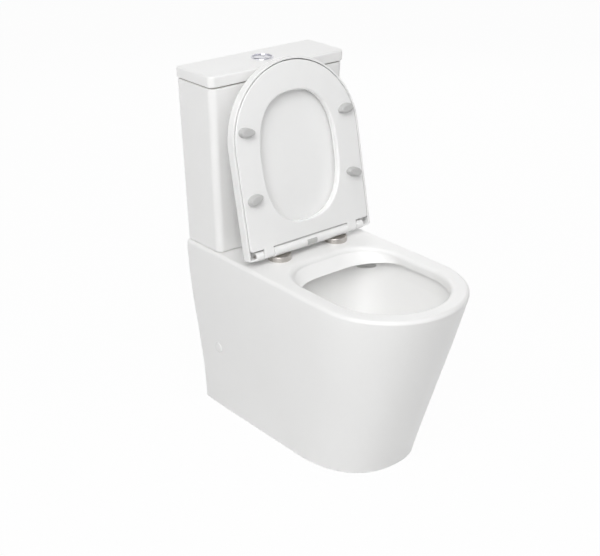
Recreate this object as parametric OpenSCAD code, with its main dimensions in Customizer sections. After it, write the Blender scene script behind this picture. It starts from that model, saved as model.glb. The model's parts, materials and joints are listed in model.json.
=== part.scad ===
// Back to wall toilet: close coupled tank, rimless pan, soft close seat and lid.
// Millimetres. +Z is up, -Y is the front, the wall stands at +Y.
// Most places are given as a distance from the wall, written as "out".
// The seat and its lid are drawn closed about their hinge axis and then raised.

/* [Pan] */
// Length of the pan, from the wall to its nose
pan_len = 650; // [620:2:690]
// Height of the deck and the rim above the floor
deck_h = 424; // [400:2:460]
// Half width of the pan at the rim
pan_hw = 175; // [168:1:185]
// Half width of the skirt at the floor
foot_hw = 137; // [122:1:150]
// How far the nose draws back from the rim to the floor
nose_draw = 133; // [100:1:160]
// Thickness of the skirt
skirt_t = 12; // [9:0.5:16]
// Thickness of the deck under the tank
deck_t = 14; // [11:0.5:18]
// Radius on the outer edge of the rim
rim_r = 9; // [5:0.5:12]

/* [Bowl] */
// Half width of the bowl opening
mouth_hw = 135; // [125:1:140]
// Back edge of the bowl opening, out from the wall
mouth_back = 273; // [268:1:282]
// Radius of the back corners of the opening
mouth_corner = 95; // [70:1:110]
// Width of the rim at the nose
nose_rim = 40; // [38:1:55]
// Height of the lip over the flushing channel
lip_h = 24; // [20:1:32]
// How much deeper the lip hangs at the back
lip_drop = 12; // [0:1:16]
// How far the lip leans in at the back
lip_lean = 26; // [0:1:32]
// Height of the flushing channel under the lip
channel_h = 17; // [12:1:22]
// Depth of the flushing channel behind the lip
channel = 13; // [8:0.5:16]
// Wall of the bowl and of the trap
bowl_t = 9; // [8:0.5:12]
// Height of the bottom of the bowl above the floor
sump_h = 72; // [66:1:80]

/* [Waste outlet] */
// Height of the outlet centre above the floor
outlet_h = 185; // [175:1:195]
// Radius of the water way through the trap
trap_r = 38; // [34:0.5:40]
// Outer radius of the outlet spigot
spigot_r = 51; // [50:0.5:55]
// Length of the spigot
spigot_len = 45; // [35:1:60]
// Gap between the wall and the end of the spigot
spigot_gap = 15; // [8:1:30]

/* [Tank] */
// Height of the tank with its lid, above the deck
tank_h = 406; // [380:1:440]
// Half width of the tank lid
lid_hw = 187; // [180:1:195]
// Depth of the tank lid, from the wall
lid_deep = 126; // [120:1:150]
// Thickness of the tank lid at its edge
lid_edge = 25; // [20:1:35]
// Thickness of the top of the tank lid
lid_top_t = 12; // [9:0.5:14]
// Radius of the front corners of the tank lid
lid_corner = 14; // [8:1:25]
// Open joint between the tank and its lid
lid_joint = 1.8; // [1:0.1:2.5]
// How far the lid stands out over the tank
overhang = 2; // [1:0.5:5]
// Half width of the tank where it meets the pan
tank_foot_hw = 170.5; // [160:0.5:172]
// Depth of the tank where it meets the pan
tank_foot_deep = 118; // [110:1:124]
// Wall of the tank
tank_t = 10; // [8:0.5:12]
// Thickness of the tank floor
tank_floor_t = 12; // [9:0.5:14]

/* [Seat] */
// Distance of the hinge axis from the wall
hinge_out = 226; // [222:1:232]
// Height of the hinge axis above the deck
hinge_up = 23.5; // [22:0.5:25]
// Angle from closed to fully raised, in degrees
open_angle = 101.7; // [95:0.1:102]
// Half width of the seat
seat_hw = 169.5; // [165:0.5:172]
// Reach of the seat from the hinge axis to its front
seat_reach = 400.5; // [394:0.5:408]
// Thickness of the seat
seat_t = 18; // [14:0.5:18]
// Distance of the seat's back edge from the hinge axis
seat_back = 15; // [14:0.2:20]
// Depth of the seat's underside below the hinge axis
under = 9.5; // [8:0.5:10]
// Half width of the opening in the seat
hole_hw = 105.5; // [95:0.5:112]
// Half length of the opening in the seat
hole_hl = 142.5; // [130:0.5:150]
// Centre of the opening, from the hinge axis
hole_out = 192.5; // [188:0.5:200]

/* [Seat lid] */
// Gap between the seat and the wall of its lid
wrap_gap = 2; // [1:0.25:3]
// Wall of the lid where it wraps round the seat
wrap_t = 4.5; // [3:0.25:6]
// Thickness of the lid's top
cover_t = 5; // [4:0.25:5]
// Rounding of the lid's outer edge
cover_r = 8; // [4:0.5:9]

/* [Hinge] */
// Half length of the hinge bar
bar_hl = 106.5; // [100:0.5:110]
// Radius of the hinge bar
bar_r = 11.5; // [11:0.25:11.5]
// Half distance between the two fixing points
fix_x = 82; // [74:0.5:85]
// Distance of the fixing points from the wall
fix_out = 221; // [220:1:226]
// Radius of the round hinge bases
base_r = 26; // [20:0.5:27]
// Radius of the hinge pins
pin_r = 4; // [3:0.25:5]
// Radius of the eyes that turn on the pins
eye_r = 10; // [9:0.25:11]

/* [Flush buttons] */
// Radius of the chrome bezel
bezel_r = 25.5; // [24:0.5:30]
// Radius of the pair of buttons
button_r = 21; // [18:0.5:21]
// Travel of each button
button_travel = 6; // [3:0.5:8]
// Lift of the flush valve
valve_lift = 15; // [10:1:20]

/* [Hidden] */

CERAMIC = [0.95, 0.95, 0.94];
PLASTIC = [0.93, 0.93, 0.92];
CHROME = [0.78, 0.79, 0.81];
STEEL = [0.70, 0.69, 0.67];
BRASS = [0.80, 0.66, 0.36];
GREY_RUBBER = [0.70, 0.70, 0.69];
BLACK_RUBBER = [0.18, 0.18, 0.19];
BLUE_PLASTIC = [0.30, 0.45, 0.70];

// Clearances
slip = 0.3;        // between two bodies that come to rest on each other
run = 0.05;        // on the radius of a running fit
play = 0.5;        // on the radius of a hole that a fixing drops through
eps = 0.01;        // overlap of a cut past a face

wall_y = pan_len / 2;
hinge_y = wall_y - hinge_out;
hinge_z = deck_h + hinge_up;

// ---- lofts: closed solids through a stack of rings with equal point counts ----

function ring_at(points, z) = [for (p = points) [p[0], p[1], z]];

module loft(rings) {
    n = len(rings[0]);
    m = len(rings);
    polyhedron(
        points = [for (r = rings) each r],
        faces = concat(
            [[for (j = [0 : n - 1]) j]],
            [for (i = [0 : m - 2]) for (j = [0 : n - 1]) let (k = (j + 1) % n)
                each [[i * n + j, (i + 1) * n + j, (i + 1) * n + k],
                      [i * n + j, (i + 1) * n + k, i * n + k]]],
            [[for (j = [n - 1 : -1 : 0]) (m - 1) * n + j]]),
        convexity = 6);
}

function ease(u) = u * u * (3 - 2 * u);
function mix(a, b, u) = a + (b - a) * u;
function sgn_pow(v, e) = sign(v) * pow(abs(v), e);

// Plan of the pan at height z: straight sides and a round nose. Both widen from
// the floor up to where the edge of the rim begins to turn in.
NOSE_STEPS = 32;
side_tuck = 2.5;   // the skirt draws in towards the wall, at the floor
function up_at(z) = min(z / (deck_h - rim_r), 1);
function side_at(z) = let (u = max(up_at(z), 0)) mix(foot_hw, pan_hw, 0.85 * ease(u) + 0.15 * u);
function nose_at(z) = pan_len - nose_draw * (1 - up_at(z));
function pan_plan(z, inset, back) =
    let (u = up_at(z),
         hw = side_at(z) - inset,
         deep = mix(foot_hw + 36, pan_hw, u) - inset,
         start = nose_at(z) - inset - deep,
         e = 2 / mix(2.35, 2, u),
         tuck = side_tuck * (1.03 - u))
    concat([[-hw + tuck, wall_y - back], [-hw, wall_y - 60]],
           [for (i = [0 : NOSE_STEPS]) let (t = 180 * i / NOSE_STEPS)
               [-hw * sgn_pow(cos(t), e), wall_y - start - deep * sgn_pow(sin(t), e)]],
           [[hw, wall_y - 60], [hw - tuck, wall_y - back]]);

// Plan of a round-cornered box that stands against the wall
CORNER_STEPS = 8;
function box_plan(hw, back, front, r) =
    concat([[-hw, wall_y - back]],
           [for (i = [0 : CORNER_STEPS]) let (t = 90 * i / CORNER_STEPS)
               [-hw + r - r * cos(t), wall_y - front + r - r * sin(t)]],
           [for (i = [CORNER_STEPS : -1 : 0]) let (t = 90 * i / CORNER_STEPS)
               [hw - r + r * cos(t), wall_y - front + r - r * sin(t)]],
           [[hw, wall_y - back]]);

// Plan of the bowl: a half ellipse at the nose and two round corners at the back.
// s = half width, back, front, depth of the nose, width and depth of a back corner
function bowl_plan(s, grow) =
    let (hw = s[0], back = s[1], mid = s[2] - s[3], cx = s[4], cy = s[5])
    concat([for (i = [0 : 26]) let (t = 180 * i / 26)
               [-(hw + grow) * cos(t), wall_y - mid - (s[3] + grow) * sin(t)]],
           [for (i = [0 : 9]) let (t = 10 * i)
               [hw - cx + (cx + grow) * cos(t), wall_y - back - cy + (cy + grow) * sin(t)]],
           [for (i = [9 : -1 : 0]) let (t = 10 * i)
               [cx - hw - (cx + grow) * cos(t), wall_y - back - cy + (cy + grow) * sin(t)]]);

// ---- the pan ----

SKIRT_LEVELS = [0, 0.1, 0.2, 0.32, 0.44, 0.56, 0.68, 0.8, 0.9];
EDGE_ANGLES = [0, 22.5, 45, 67.5, 90];

module pan_outside() {
    turn_z = deck_h - rim_r;
    loft(concat(
        [for (u = SKIRT_LEVELS) ring_at(pan_plan(u * turn_z, 0, 0), u * turn_z)],
        [for (a = EDGE_ANGLES)
            ring_at(pan_plan(turn_z, rim_r * (1 - cos(a)), 0), turn_z + rim_r * sin(a))]));
}

// Hollow under the bowl, open at the floor and at the wall
hollow_top = deck_h - 62;
module skirt_hollow() {
    loft([for (z = [-1, 40, 90, 150, 210, 270, 320, hollow_top])
        ring_at(pan_plan(z, skirt_t, -1), z)]);
}

// Hollow under the deck, behind the bowl
deck_hollow_end = mouth_back - channel - bowl_t - 8;
module deck_hollow() {
    hw = side_at(hollow_top) - skirt_t - 1;
    translate([-hw, wall_y - deck_hollow_end, hollow_top - 5])
        cube([2 * hw, deck_hollow_end + 1, deck_h - deck_t - hollow_top + 5]);
}

mouth_front = pan_len - nose_rim;
MOUTH = [mouth_hw, mouth_back, mouth_front, mouth_hw, mouth_corner, mouth_corner];
LIP_FOOT = [mouth_hw, mouth_back + lip_lean, mouth_front, mouth_hw, mouth_corner, mouth_corner - 10];
// Each level of the bowl: height below the deck, then its plan
BOWL_LEVELS = [
    [deck_h - sump_h, [24, mouth_back + 52, 384, 26, 21, 22]],
    [deck_h - sump_h - 10, [38, mouth_back + 48, 402, 38, 34, 34]],
    [deck_h - sump_h - 38, [50, mouth_back + 44, 426, 50, 42, 42]],
    [deck_h - sump_h - 80, [60, mouth_back + 38, 455, 64, 50, 50]],
    [deck_h - sump_h - 126, [74, mouth_back + 30, 487, 82, 62, 62]],
    [deck_h - sump_h - 172, [96, mouth_back + 18, 527, 106, 78, 78]],
    [135, [120, mouth_back + 5, mouth_front - 35, 126, 92, 92]],
    [90, [mouth_hw + 1, mouth_back - 5, mouth_front - 8, mouth_hw + 1, mouth_corner, mouth_corner]],
    [60, [mouth_hw + 9, mouth_back - channel + 4, mouth_front + 4, mouth_hw + 5, mouth_corner, mouth_corner]]];
CHANNEL_PLAN = [mouth_hw + channel, mouth_back - channel, mouth_front + channel - 2, mouth_hw + channel - 4,
                mouth_corner, mouth_corner];

// A level that hangs deeper at the back, as the lip does
function hung(points, z) =
    [for (p = points) [p[0], p[1],
        z - lip_drop * (1 - ease(min(max((wall_y - p[1] - mouth_back) / 130, 0), 1)))]];

module bowl_inside() {
    lip_r = 8;
    low = deck_h - lip_h;
    loft(concat(
        [for (s = BOWL_LEVELS) ring_at(bowl_plan(s[1], 0), deck_h - s[0])],
        [hung(bowl_plan(CHANNEL_PLAN, -1.5), low - channel_h),
         hung(bowl_plan(CHANNEL_PLAN, 0), low - channel_h + 4),
         hung(bowl_plan(CHANNEL_PLAN, 0), low - 3),
         hung(bowl_plan(CHANNEL_PLAN, -2), low + 0.5),
         hung(bowl_plan(LIP_FOOT, 1.2), low),
         hung(bowl_plan(LIP_FOOT, 0), low + 1.5),
         ring_at(bowl_plan(MOUTH, 0), deck_h - lip_r)],
        [for (a = [22.5, 45, 67.5, 90])
            ring_at(bowl_plan(MOUTH, lip_r * (1 - cos(a))), deck_h - lip_r * (1 - sin(a)))],
        [ring_at(bowl_plan(MOUTH, lip_r), deck_h + 1)]));
}

module bowl_outside() {
    loft(concat(
        [ring_at(bowl_plan(BOWL_LEVELS[0][1], 0), sump_h - bowl_t),
         ring_at(bowl_plan(BOWL_LEVELS[0][1], bowl_t), sump_h)],
        [for (i = [1 : len(BOWL_LEVELS) - 1]) ring_at(bowl_plan(BOWL_LEVELS[i][1], bowl_t), deck_h - BOWL_LEVELS[i][0])],
        [ring_at(bowl_plan(CHANNEL_PLAN, bowl_t), deck_h - lip_h - channel_h - lip_drop),
         ring_at(bowl_plan(CHANNEL_PLAN, bowl_t), deck_h - deck_t + 2)]));
}

// Middle line of the trap: out from the wall, height. Water stands in it as high
// as the floor of its highest bend.
trap_in_h = sump_h + trap_r;
TRAP_LINE = [[362, trap_in_h + 1], [322, trap_in_h], [290, trap_in_h + 10], [262, trap_in_h + 48],
             [236, outlet_h + 42], [198, outlet_h + 60], [164, outlet_h + 40], [134, outlet_h + 9],
             [100, outlet_h], [60, outlet_h], [spigot_gap - 2, outlet_h]];
TRAP_SIDES = 32;
TRAP_STEPS = 2;

// Place on a smooth line through the points p, u steps along it
function through(p, u) =
    let (n = len(p) - 1, i = min(floor(u), n - 1), t = u - i,
         a = p[max(i - 1, 0)], b = p[i], c = p[i + 1], d = p[min(i + 2, n)])
    0.5 * (2 * b + t * (c - a) + t * t * (2 * a - 5 * b + 4 * c - d) + t * t * t * (3 * b - a - 3 * c + d));

// A tube along that line, up to its given end
module trap(r, end) {
    n = (len(TRAP_LINE) - 1) * TRAP_STEPS;
    line = [for (i = [0 : n]) let (q = through(TRAP_LINE, i / TRAP_STEPS)) [wall_y - max(q[0], end), q[1]]];
    last = len([for (q = line) if (q[0] < wall_y - end) 1]);
    loft([for (i = [0 : last])
        let (way = line[min(i + 1, last)] - line[max(i - 1, 0)], w = way / norm(way))
            [for (j = [0 : TRAP_SIDES - 1]) let (t = 360 * (j + 0.5) / TRAP_SIDES)
                [r * cos(t), line[i][0] + r * sin(t) * w[1], line[i][1] - r * sin(t) * w[0]]]]);
}

// Duct that leads the flush from the tank to the channel behind the lip
duct_hw = 38;
duct_h = 34;
duct_t = 10;
module duct(grow, end) {
    top = deck_h - deck_t + (grow > 0 ? 1 : 0);
    translate([-duct_hw - grow, wall_y - end, top - duct_h - grow])
        cube([2 * (duct_hw + grow), end - 25 + grow, duct_h + grow]);
}

// Places of what passes through the deck
tank_mid_out = tank_foot_deep / 2;
coupling_x = 75;
inlet_gap = 35;
inlet_x = -coupling_x - inlet_gap;
inlet_out = tank_mid_out - 11;
valve_tail_r = 30;
gasket_r = 54;
gasket_h = 8;
gasket_seat_r = 40;
bolt_r = 4;
plug_r = 7;
deck_inlet_r = valve_tail_r + 4;
hose_hole_r = 20;

// Side fixing: a screw through the skirt into a floor bracket, under a round cover
side_fix_out = 78;
side_fix_h = 168;
cover_r_out = 12;
cover_seat_t = 3;

module at_side_fixings() {
    for (s = [-1, 1])
        translate([s * side_at(side_fix_h), wall_y - side_fix_out, side_fix_h])
            rotate([0, s * 90, 0]) children();
}

module pan() color(CERAMIC)
difference() {
    pan_outside();
    difference() {
        union() {
            skirt_hollow();
            deck_hollow();
        }
        bowl_outside();
        trap(trap_r + bowl_t, spigot_gap + spigot_len - 5);
        translate([0, wall_y - spigot_gap, outlet_h])
            rotate([90, 0, 0]) cylinder(r = spigot_r, h = spigot_len, $fn = 64);
        duct(duct_t, deck_hollow_end + 4);
    }
    bowl_inside();
    trap(trap_r, spigot_gap - 1);
    duct(0, mouth_back - channel + 8);
    translate([0, wall_y - tank_mid_out, deck_h - gasket_h]) {
        cylinder(r = gasket_r + play, h = gasket_h + 1, $fn = 64);
        translate([0, 0, gasket_h - deck_t - 1]) cylinder(r = deck_inlet_r, h = deck_t, $fn = 48);
    }
    for (s = [-1, 1]) {
        translate([s * coupling_x, wall_y - tank_mid_out, deck_h - deck_t - 1])
            cylinder(r = bolt_r + 2, h = deck_t + 2, $fn = 32);
        translate([s * fix_x, wall_y - fix_out, deck_h - deck_t - 1])
            cylinder(r = plug_r, h = deck_t + 2, $fn = 32);
    }
    translate([inlet_x, wall_y - inlet_out, deck_h - deck_t - 1])
        cylinder(r = hose_hole_r, h = deck_t + 2, $fn = 32);
    at_side_fixings() {
        translate([0, 0, -skirt_t - 12]) cylinder(r = 3.5, h = skirt_t + 20, $fn = 24);
        translate([0, 0, -cover_seat_t]) cylinder(r = cover_r_out + slip, h = 20, $fn = 32);
    }
}

// ---- the tank and its lid ----

tank_z = deck_h + 1;
tank_top = deck_h + tank_h;
lid_z = tank_top - lid_edge;
tank_rim_z = lid_z - lid_joint;
tank_hw = lid_hw - overhang;
tank_deep = lid_deep - overhang;
tank_back = 0.5;
tank_edge_r = 3;
tank_corner = lid_corner + 2;
tank_inner_floor = tank_z + tank_floor_t;

function tank_plan(z, inset) =
    let (u = (z - tank_z) / (tank_rim_z - tank_z))
    box_plan(mix(tank_foot_hw, tank_hw, u) - inset, tank_back + inset,
             mix(tank_foot_deep, tank_deep, u) - inset, tank_corner - inset / 2);

module tank_outside() {
    r = tank_edge_r;
    loft(concat(
        [for (a = [0, 45, 90]) ring_at(tank_plan(tank_z, r * (1 - sin(a))), tank_z + r * (1 - cos(a)))],
        [for (a = [0, 45, 90])
            ring_at(tank_plan(tank_rim_z, r * (1 - cos(a))), tank_rim_z - r * (1 - sin(a)))]));
}

module tank_inside() {
    loft([for (z = [tank_inner_floor, tank_rim_z + 1]) ring_at(tank_plan(z, tank_t), z)]);
}

module tank() color(CERAMIC)
difference() {
    tank_outside();
    tank_inside();
    translate([0, wall_y - tank_mid_out, tank_z - 1])
        cylinder(r = valve_tail_r + play, h = tank_floor_t + 2, $fn = 48);
    for (s = [-1, 1])
        translate([s * coupling_x, wall_y - tank_mid_out, tank_z - 1])
            cylinder(r = bolt_r + 2, h = tank_floor_t + 2, $fn = 32);
    translate([inlet_x, wall_y - inlet_out, tank_z - 1])
        cylinder(r = shank_r + play, h = tank_floor_t + 2, $fn = 32);
}

// Lid: a shallow tray upside down. A narrow foot under its wall stands on the tank,
// and a locating rib drops into the tank.
lid_wall_t = 11;
foot_t = 5.5;
rib_t = 5;
rib_drop = 7;
barrel_r = button_r + 2.5;
button_out = lid_deep / 2;

module tank_lid_outside() {
    r = 4;
    low = 2;
    plan = function(o) box_plan(lid_hw - o, o, lid_deep - o, lid_corner - o / 2);
    loft(concat(
        [for (a = [0, 45, 90]) ring_at(plan(low * (1 - sin(a))), lid_z + low * (1 - cos(a)))],
        [for (a = EDGE_ANGLES) ring_at(plan(r * (1 - cos(a))), tank_top - r * (1 - sin(a)))]));
}

module lid_plan(inset) {
    polygon(box_plan(lid_hw - inset, inset, lid_deep - inset, lid_corner - inset / 2));
}

module lid_rib_plan(inset) {
    polygon(box_plan(tank_hw - tank_t - 2 - inset, tank_back + tank_t + 2 + inset,
                     tank_deep - tank_t - 2 - inset, 9 - inset / 2));
}

module tank_lid() color(CERAMIC)
difference() {
    union() {
        difference() {
            tank_lid_outside();
            translate([0, 0, lid_z - 1]) linear_extrude(lid_edge - lid_top_t + 1)
                lid_plan(lid_wall_t);
        }
        translate([0, 0, tank_rim_z + slip]) linear_extrude(lid_joint - slip + 1) difference() {
            lid_plan(lid_wall_t - foot_t);
            lid_plan(lid_wall_t);
        }
        translate([0, 0, lid_z - rib_drop])
            linear_extrude(lid_edge - lid_top_t + rib_drop + 1) difference() {
                lid_rib_plan(0);
                lid_rib_plan(rib_t);
            }
    }
    translate([0, wall_y - button_out, lid_z - 1])
        cylinder(r = barrel_r + play, h = lid_edge + 2, $fn = 48);
}

// ---- flush buttons in the tank lid ----

bezel_h = 3;
bezel_floor_t = 3;
bezel_drop = 26;
button_t = 5;
button_top = tank_top + 1.6;
rod_x = 11;
rod_fwd = 9;
rod_r = 3;
rod_end = tank_top - 230;
lid_under = tank_top - lid_top_t;

module at_buttons(z) translate([0, wall_y - button_out, z]) children();

module button_bezel() color(CHROME)
at_buttons(tank_top) difference() {
    union() {
        rotate_extrude($fn = 72) difference() {
            square([bezel_r, bezel_h]);
            translate([bezel_r - 2, bezel_h - 2]) difference() {
                square(3);
                circle(r = 2, $fn = 48);
            }
        }
        translate([0, 0, -bezel_drop]) cylinder(r = barrel_r, h = bezel_drop + 1, $fn = 72);
    }
    translate([0, 0, -bezel_drop + bezel_floor_t])
        cylinder(r = button_r + slip, h = bezel_drop + bezel_h + 1, $fn = 72);
    for (s = [-1, 1]) translate([s * rod_x, -rod_fwd, -bezel_drop - 1])
        cylinder(r = rod_r + play, h = bezel_floor_t + 2, $fn = 32);
}

module button_locknut() color(PLASTIC)
at_buttons(lid_under - 8) difference() {
    union() {
        cylinder(r = barrel_r + 5, h = 8, $fn = 64);
        for (a = [0 : 45 : 315]) rotate([0, 0, a])
            translate([barrel_r + 3, -2, 0]) cube([4.5, 4, 8]);
    }
    translate([0, 0, -1]) cylinder(r = barrel_r + run, h = 10, $fn = 64);
}

// One of the pair: side is -1 for the full flush, 1 for the half flush
split_x = 2.5;
split_gap = 0.4;
module flush_button(side) {
    at_buttons(button_top - button_t) {
        intersection() {
            rotate_extrude($fn = 72) difference() {
                square([button_r, button_t]);
                translate([button_r - 1.5, button_t - 1.5]) difference() {
                    square(3);
                    circle(r = 1.5, $fn = 32);
                }
            }
            translate([side > 0 ? split_x + split_gap : split_x - split_gap - 3 * button_r, -2 * button_r, -1])
                cube([3 * button_r, 4 * button_r, button_t + 2]);
        }
        translate([side * rod_x, -rod_fwd, rod_end - button_top + button_t])
            cylinder(r = rod_r, h = button_top - button_t - rod_end + 1, $fn = 32);
    }
}

module full_flush_button() color(CHROME) flush_button(-1);
module half_flush_button() color(CHROME) flush_button(1);

// Return spring round a push rod, one unbroken tube of round wire
spring_r = 5;
wire_r = 0.6;
spring_turns = 5;
SPRING_SIDES = 6;
SPRING_STEPS = 8;
spring_foot = tank_top - bezel_drop + bezel_floor_t + wire_r + 0.1;
spring_head = button_top - button_t - wire_r - 0.1;

module spring(x) {
    n = spring_turns * SPRING_STEPS;
    rise = spring_head - spring_foot;
    lift = function(i) rise * ease(i / n);
    rings = [for (i = [0 : n]) let (a = 360 * i / SPRING_STEPS)
        [for (j = [0 : SPRING_SIDES - 1]) let (b = -360 * j / SPRING_SIDES, r = spring_r + wire_r * cos(b))
            [x + r * cos(a), wall_y - button_out - rod_fwd + r * sin(a),
             spring_foot + lift(i) + wire_r * sin(b)]]];
    loft(rings);
}

module full_button_spring() color(STEEL) spring(-rod_x);
module half_button_spring() color(STEEL) spring(rod_x);

// ---- flush valve ----

valve_flange_r = 38;
washer_t = 1.5;
valve_z = tank_inner_floor + washer_t;
valve_bore_r = 24;
valve_seat_h = 14;
cage_h = valve_lift + 95;
rod_reach = 50;    // how deep the push rods stand in the housing
housing_z = valve_z + cage_h;
housing_h = rod_end + rod_reach - housing_z;
housing_r = 32;
tube_r = 12;
piston_z = valve_z + valve_seat_h + 2;

module at_valve(z) translate([0, wall_y - tank_mid_out, z]) children();

module flush_valve_body() color(PLASTIC) {
    at_valve(valve_z) difference() {
        union() {
            cylinder(r = valve_flange_r, h = 6, $fn = 64);
            cylinder(r = valve_bore_r + 6, h = valve_seat_h, $fn = 64);
            translate([0, 0, -valve_tail_len]) cylinder(r = valve_tail_r, h = valve_tail_len + 1, $fn = 64);
        }
        translate([0, 0, -valve_tail_len - 1])
            cylinder(r = valve_bore_r, h = valve_tail_len + valve_seat_h + 2, $fn = 64);
    }
    at_valve(valve_z) for (a = [45 : 90 : 315]) rotate([0, 0, a])
        translate([valve_flange_r - 6, -4, 5]) cube([5, 8, cage_h]);
    at_valve(housing_z) difference() {
        cylinder(r = valve_flange_r, h = 5, $fn = 64);
        translate([0, 0, -1]) cylinder(r = tube_r + slip + 0.2, h = 10, $fn = 48);
    }
    difference() {
        at_valve(housing_z + 4) cylinder(r = housing_r, h = housing_h - 4, $fn = 64);
        at_valve(housing_z) cylinder(r = tube_r + slip + 0.2, h = housing_h + 1, $fn = 48);
        for (s = [-1, 1])
            translate([s * rod_x, wall_y - button_out - rod_fwd, rod_end - button_travel - 6])
                cylinder(r = rod_r + slip, h = button_travel + rod_reach + 10, $fn = 32);
    }
}

tube_over = 12;    // how far the overflow tube stands over the housing
tube_h = housing_z + housing_h + tube_over - piston_z;
module flush_valve_piston() color(BLUE_PLASTIC)
at_valve(piston_z) difference() {
    union() {
        cylinder(r = valve_bore_r + 4, h = 5, $fn = 64);
        cylinder(r = tube_r, h = tube_h, $fn = 48);
    }
    translate([0, 0, -1]) cylinder(r = tube_r - 2, h = tube_h + 2, $fn = 48);
}

module flush_valve_seal() color(BLACK_RUBBER)
at_valve(valve_z + valve_seat_h + slip) difference() {
    cylinder(r = valve_bore_r + 5, h = 2 - slip, $fn = 64);
    translate([0, 0, -1]) cylinder(r = tube_r + 2, h = 4, $fn = 48);
}

module flush_valve_washer() color(BLACK_RUBBER)
at_valve(tank_inner_floor) difference() {
    cylinder(r = valve_flange_r, h = washer_t, $fn = 64);
    translate([0, 0, -1]) cylinder(r = valve_tail_r + play, h = 5, $fn = 64);
}

coupling_gap = tank_z - (deck_h - gasket_h);
nut_h = coupling_gap - 0.6;
valve_tail_len = tank_floor_t + washer_t + nut_h + 10;

module flush_valve_nut() color(PLASTIC)
at_valve(tank_z - nut_h) difference() {
    cylinder(r = gasket_seat_r - 2, h = nut_h, $fn = 8);
    translate([0, 0, -1]) cylinder(r = valve_tail_r + run, h = nut_h + 2, $fn = 64);
}

module coupling_gasket() color(BLACK_RUBBER)
at_valve(deck_h - gasket_h) difference() {
    cylinder(r = gasket_r, h = coupling_gap, $fn = 64);
    translate([0, 0, -1]) cylinder(r = gasket_seat_r, h = coupling_gap + 2, $fn = 64);
}

// ---- bolts that hold the tank to the pan ----

bolt_washer_t = 3;
wing_nut_h = 8;
wing_span = 26;
wing_t = 2.4;
under_deck = deck_h - deck_t;

module at_coupling_bolts(z)
    for (s = [-1, 1]) translate([s * coupling_x, wall_y - tank_mid_out, z]) children();

module coupling_bolts() color(BRASS)
at_coupling_bolts(tank_inner_floor + bolt_washer_t) {
    rotate_extrude($fn = 32) intersection() {
        translate([0, -3]) circle(r = 9, $fn = 48);
        square([9, 9]);
    }
    reach = tank_inner_floor + bolt_washer_t - under_deck + bolt_washer_t + wing_nut_h + 6;
    translate([0, 0, -reach]) cylinder(r = bolt_r, h = reach + 1, $fn = 32);
}

module coupling_bolt_washers() color(BLACK_RUBBER)
for (z = [tank_inner_floor, under_deck - bolt_washer_t])
    at_coupling_bolts(z) difference() {
        cylinder(r = 11, h = bolt_washer_t, $fn = 32);
        translate([0, 0, -1]) cylinder(r = bolt_r + run, h = 5, $fn = 32);
    }

module coupling_wing_nuts() color(BRASS)
at_coupling_bolts(under_deck - bolt_washer_t - wing_nut_h) difference() {
    union() {
        cylinder(r = 7, h = wing_nut_h, $fn = 32);
        translate([-wing_t / 2, -wing_span / 2, 0]) cube([wing_t, wing_span, wing_nut_h - 1]);
    }
    translate([0, 0, -1]) cylinder(r = bolt_r + run, h = wing_nut_h + 2, $fn = 32);
}

// ---- fill valve ----

inlet_r = 10.4775;
inlet_washer_t = 2;
stem_r = 9;
stem_top = tank_top - 125;
head_r = 17;
head_len = 22;
tail_len = 56;
free_tail = 26;    // the threaded end that is left below the nut and the deck
shank_r = inlet_r + 0.8;
float_r = 33;
float_t = 2;
float_h = 66;
float_travel = 95;
float_z = stem_top - 4 - float_h - float_travel;   // at rest on its stop, the tank empty

module at_inlet(z) translate([inlet_x, wall_y - inlet_out, z]) children();

module fill_valve_body() color(PLASTIC) {
    base = tank_inner_floor + inlet_washer_t;
    at_inlet(0) difference() {
        union() {
            translate([0, 0, base]) cylinder(r = 17, h = 5, $fn = 48);
            translate([0, 0, base - tail_len]) cylinder(r = inlet_r, h = free_tail + 1, $fn = 48);
            translate([0, 0, base - tail_len + free_tail]) cylinder(r = shank_r, h = tail_len - free_tail + 1, $fn = 48);
            translate([0, 0, base]) cylinder(r = stem_r, h = stem_top - base, $fn = 48);
            translate([0, 0, float_z - slip - 8]) cylinder(r = 13, h = 8, $fn = 48);
            translate([0, 0, stem_top]) cylinder(r = head_r, h = head_len, $fn = 48);
            translate([0, 0, stem_top + head_len - 1]) cylinder(r = head_r - 5, h = 10, $fn = 48);
        }
        translate([0, 0, base - tail_len - 1]) cylinder(r = 5, h = stem_top - base + tail_len - 20, $fn = 32);
    }
}

module fill_valve_float() color(PLASTIC)
at_inlet(float_z) difference() {
    cylinder(r = float_r, h = float_h, $fn = 64);
    translate([0, 0, -1]) cylinder(r = stem_r + play, h = float_h + 2, $fn = 48);
    translate([0, 0, -1]) difference() {
        cylinder(r = float_r - float_t, h = float_h - float_t, $fn = 64);
        translate([0, 0, -1]) cylinder(r = stem_r + play + float_t, h = float_h + 2, $fn = 48);
    }
}

module fill_valve_washer() color(BLACK_RUBBER)
at_inlet(tank_inner_floor) difference() {
    cylinder(r = 17, h = inlet_washer_t, $fn = 48);
    translate([0, 0, -1]) cylinder(r = shank_r + run, h = 5, $fn = 48);
}

module fill_valve_nut() color(PLASTIC)
at_inlet(tank_z - 12) difference() {
    union() {
        cylinder(r = 16, h = 12, $fn = 6);
        translate([0, 0, 10]) cylinder(r = 18, h = 2, $fn = 48);
    }
    translate([0, 0, -1]) cylinder(r = shank_r + run, h = 14, $fn = 48);
}

// ---- the seat and its lid, drawn closed about the hinge axis, then raised ----

module raised() translate([0, hinge_y, hinge_z]) rotate([-open_angle, 0, 0]) children();

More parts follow.
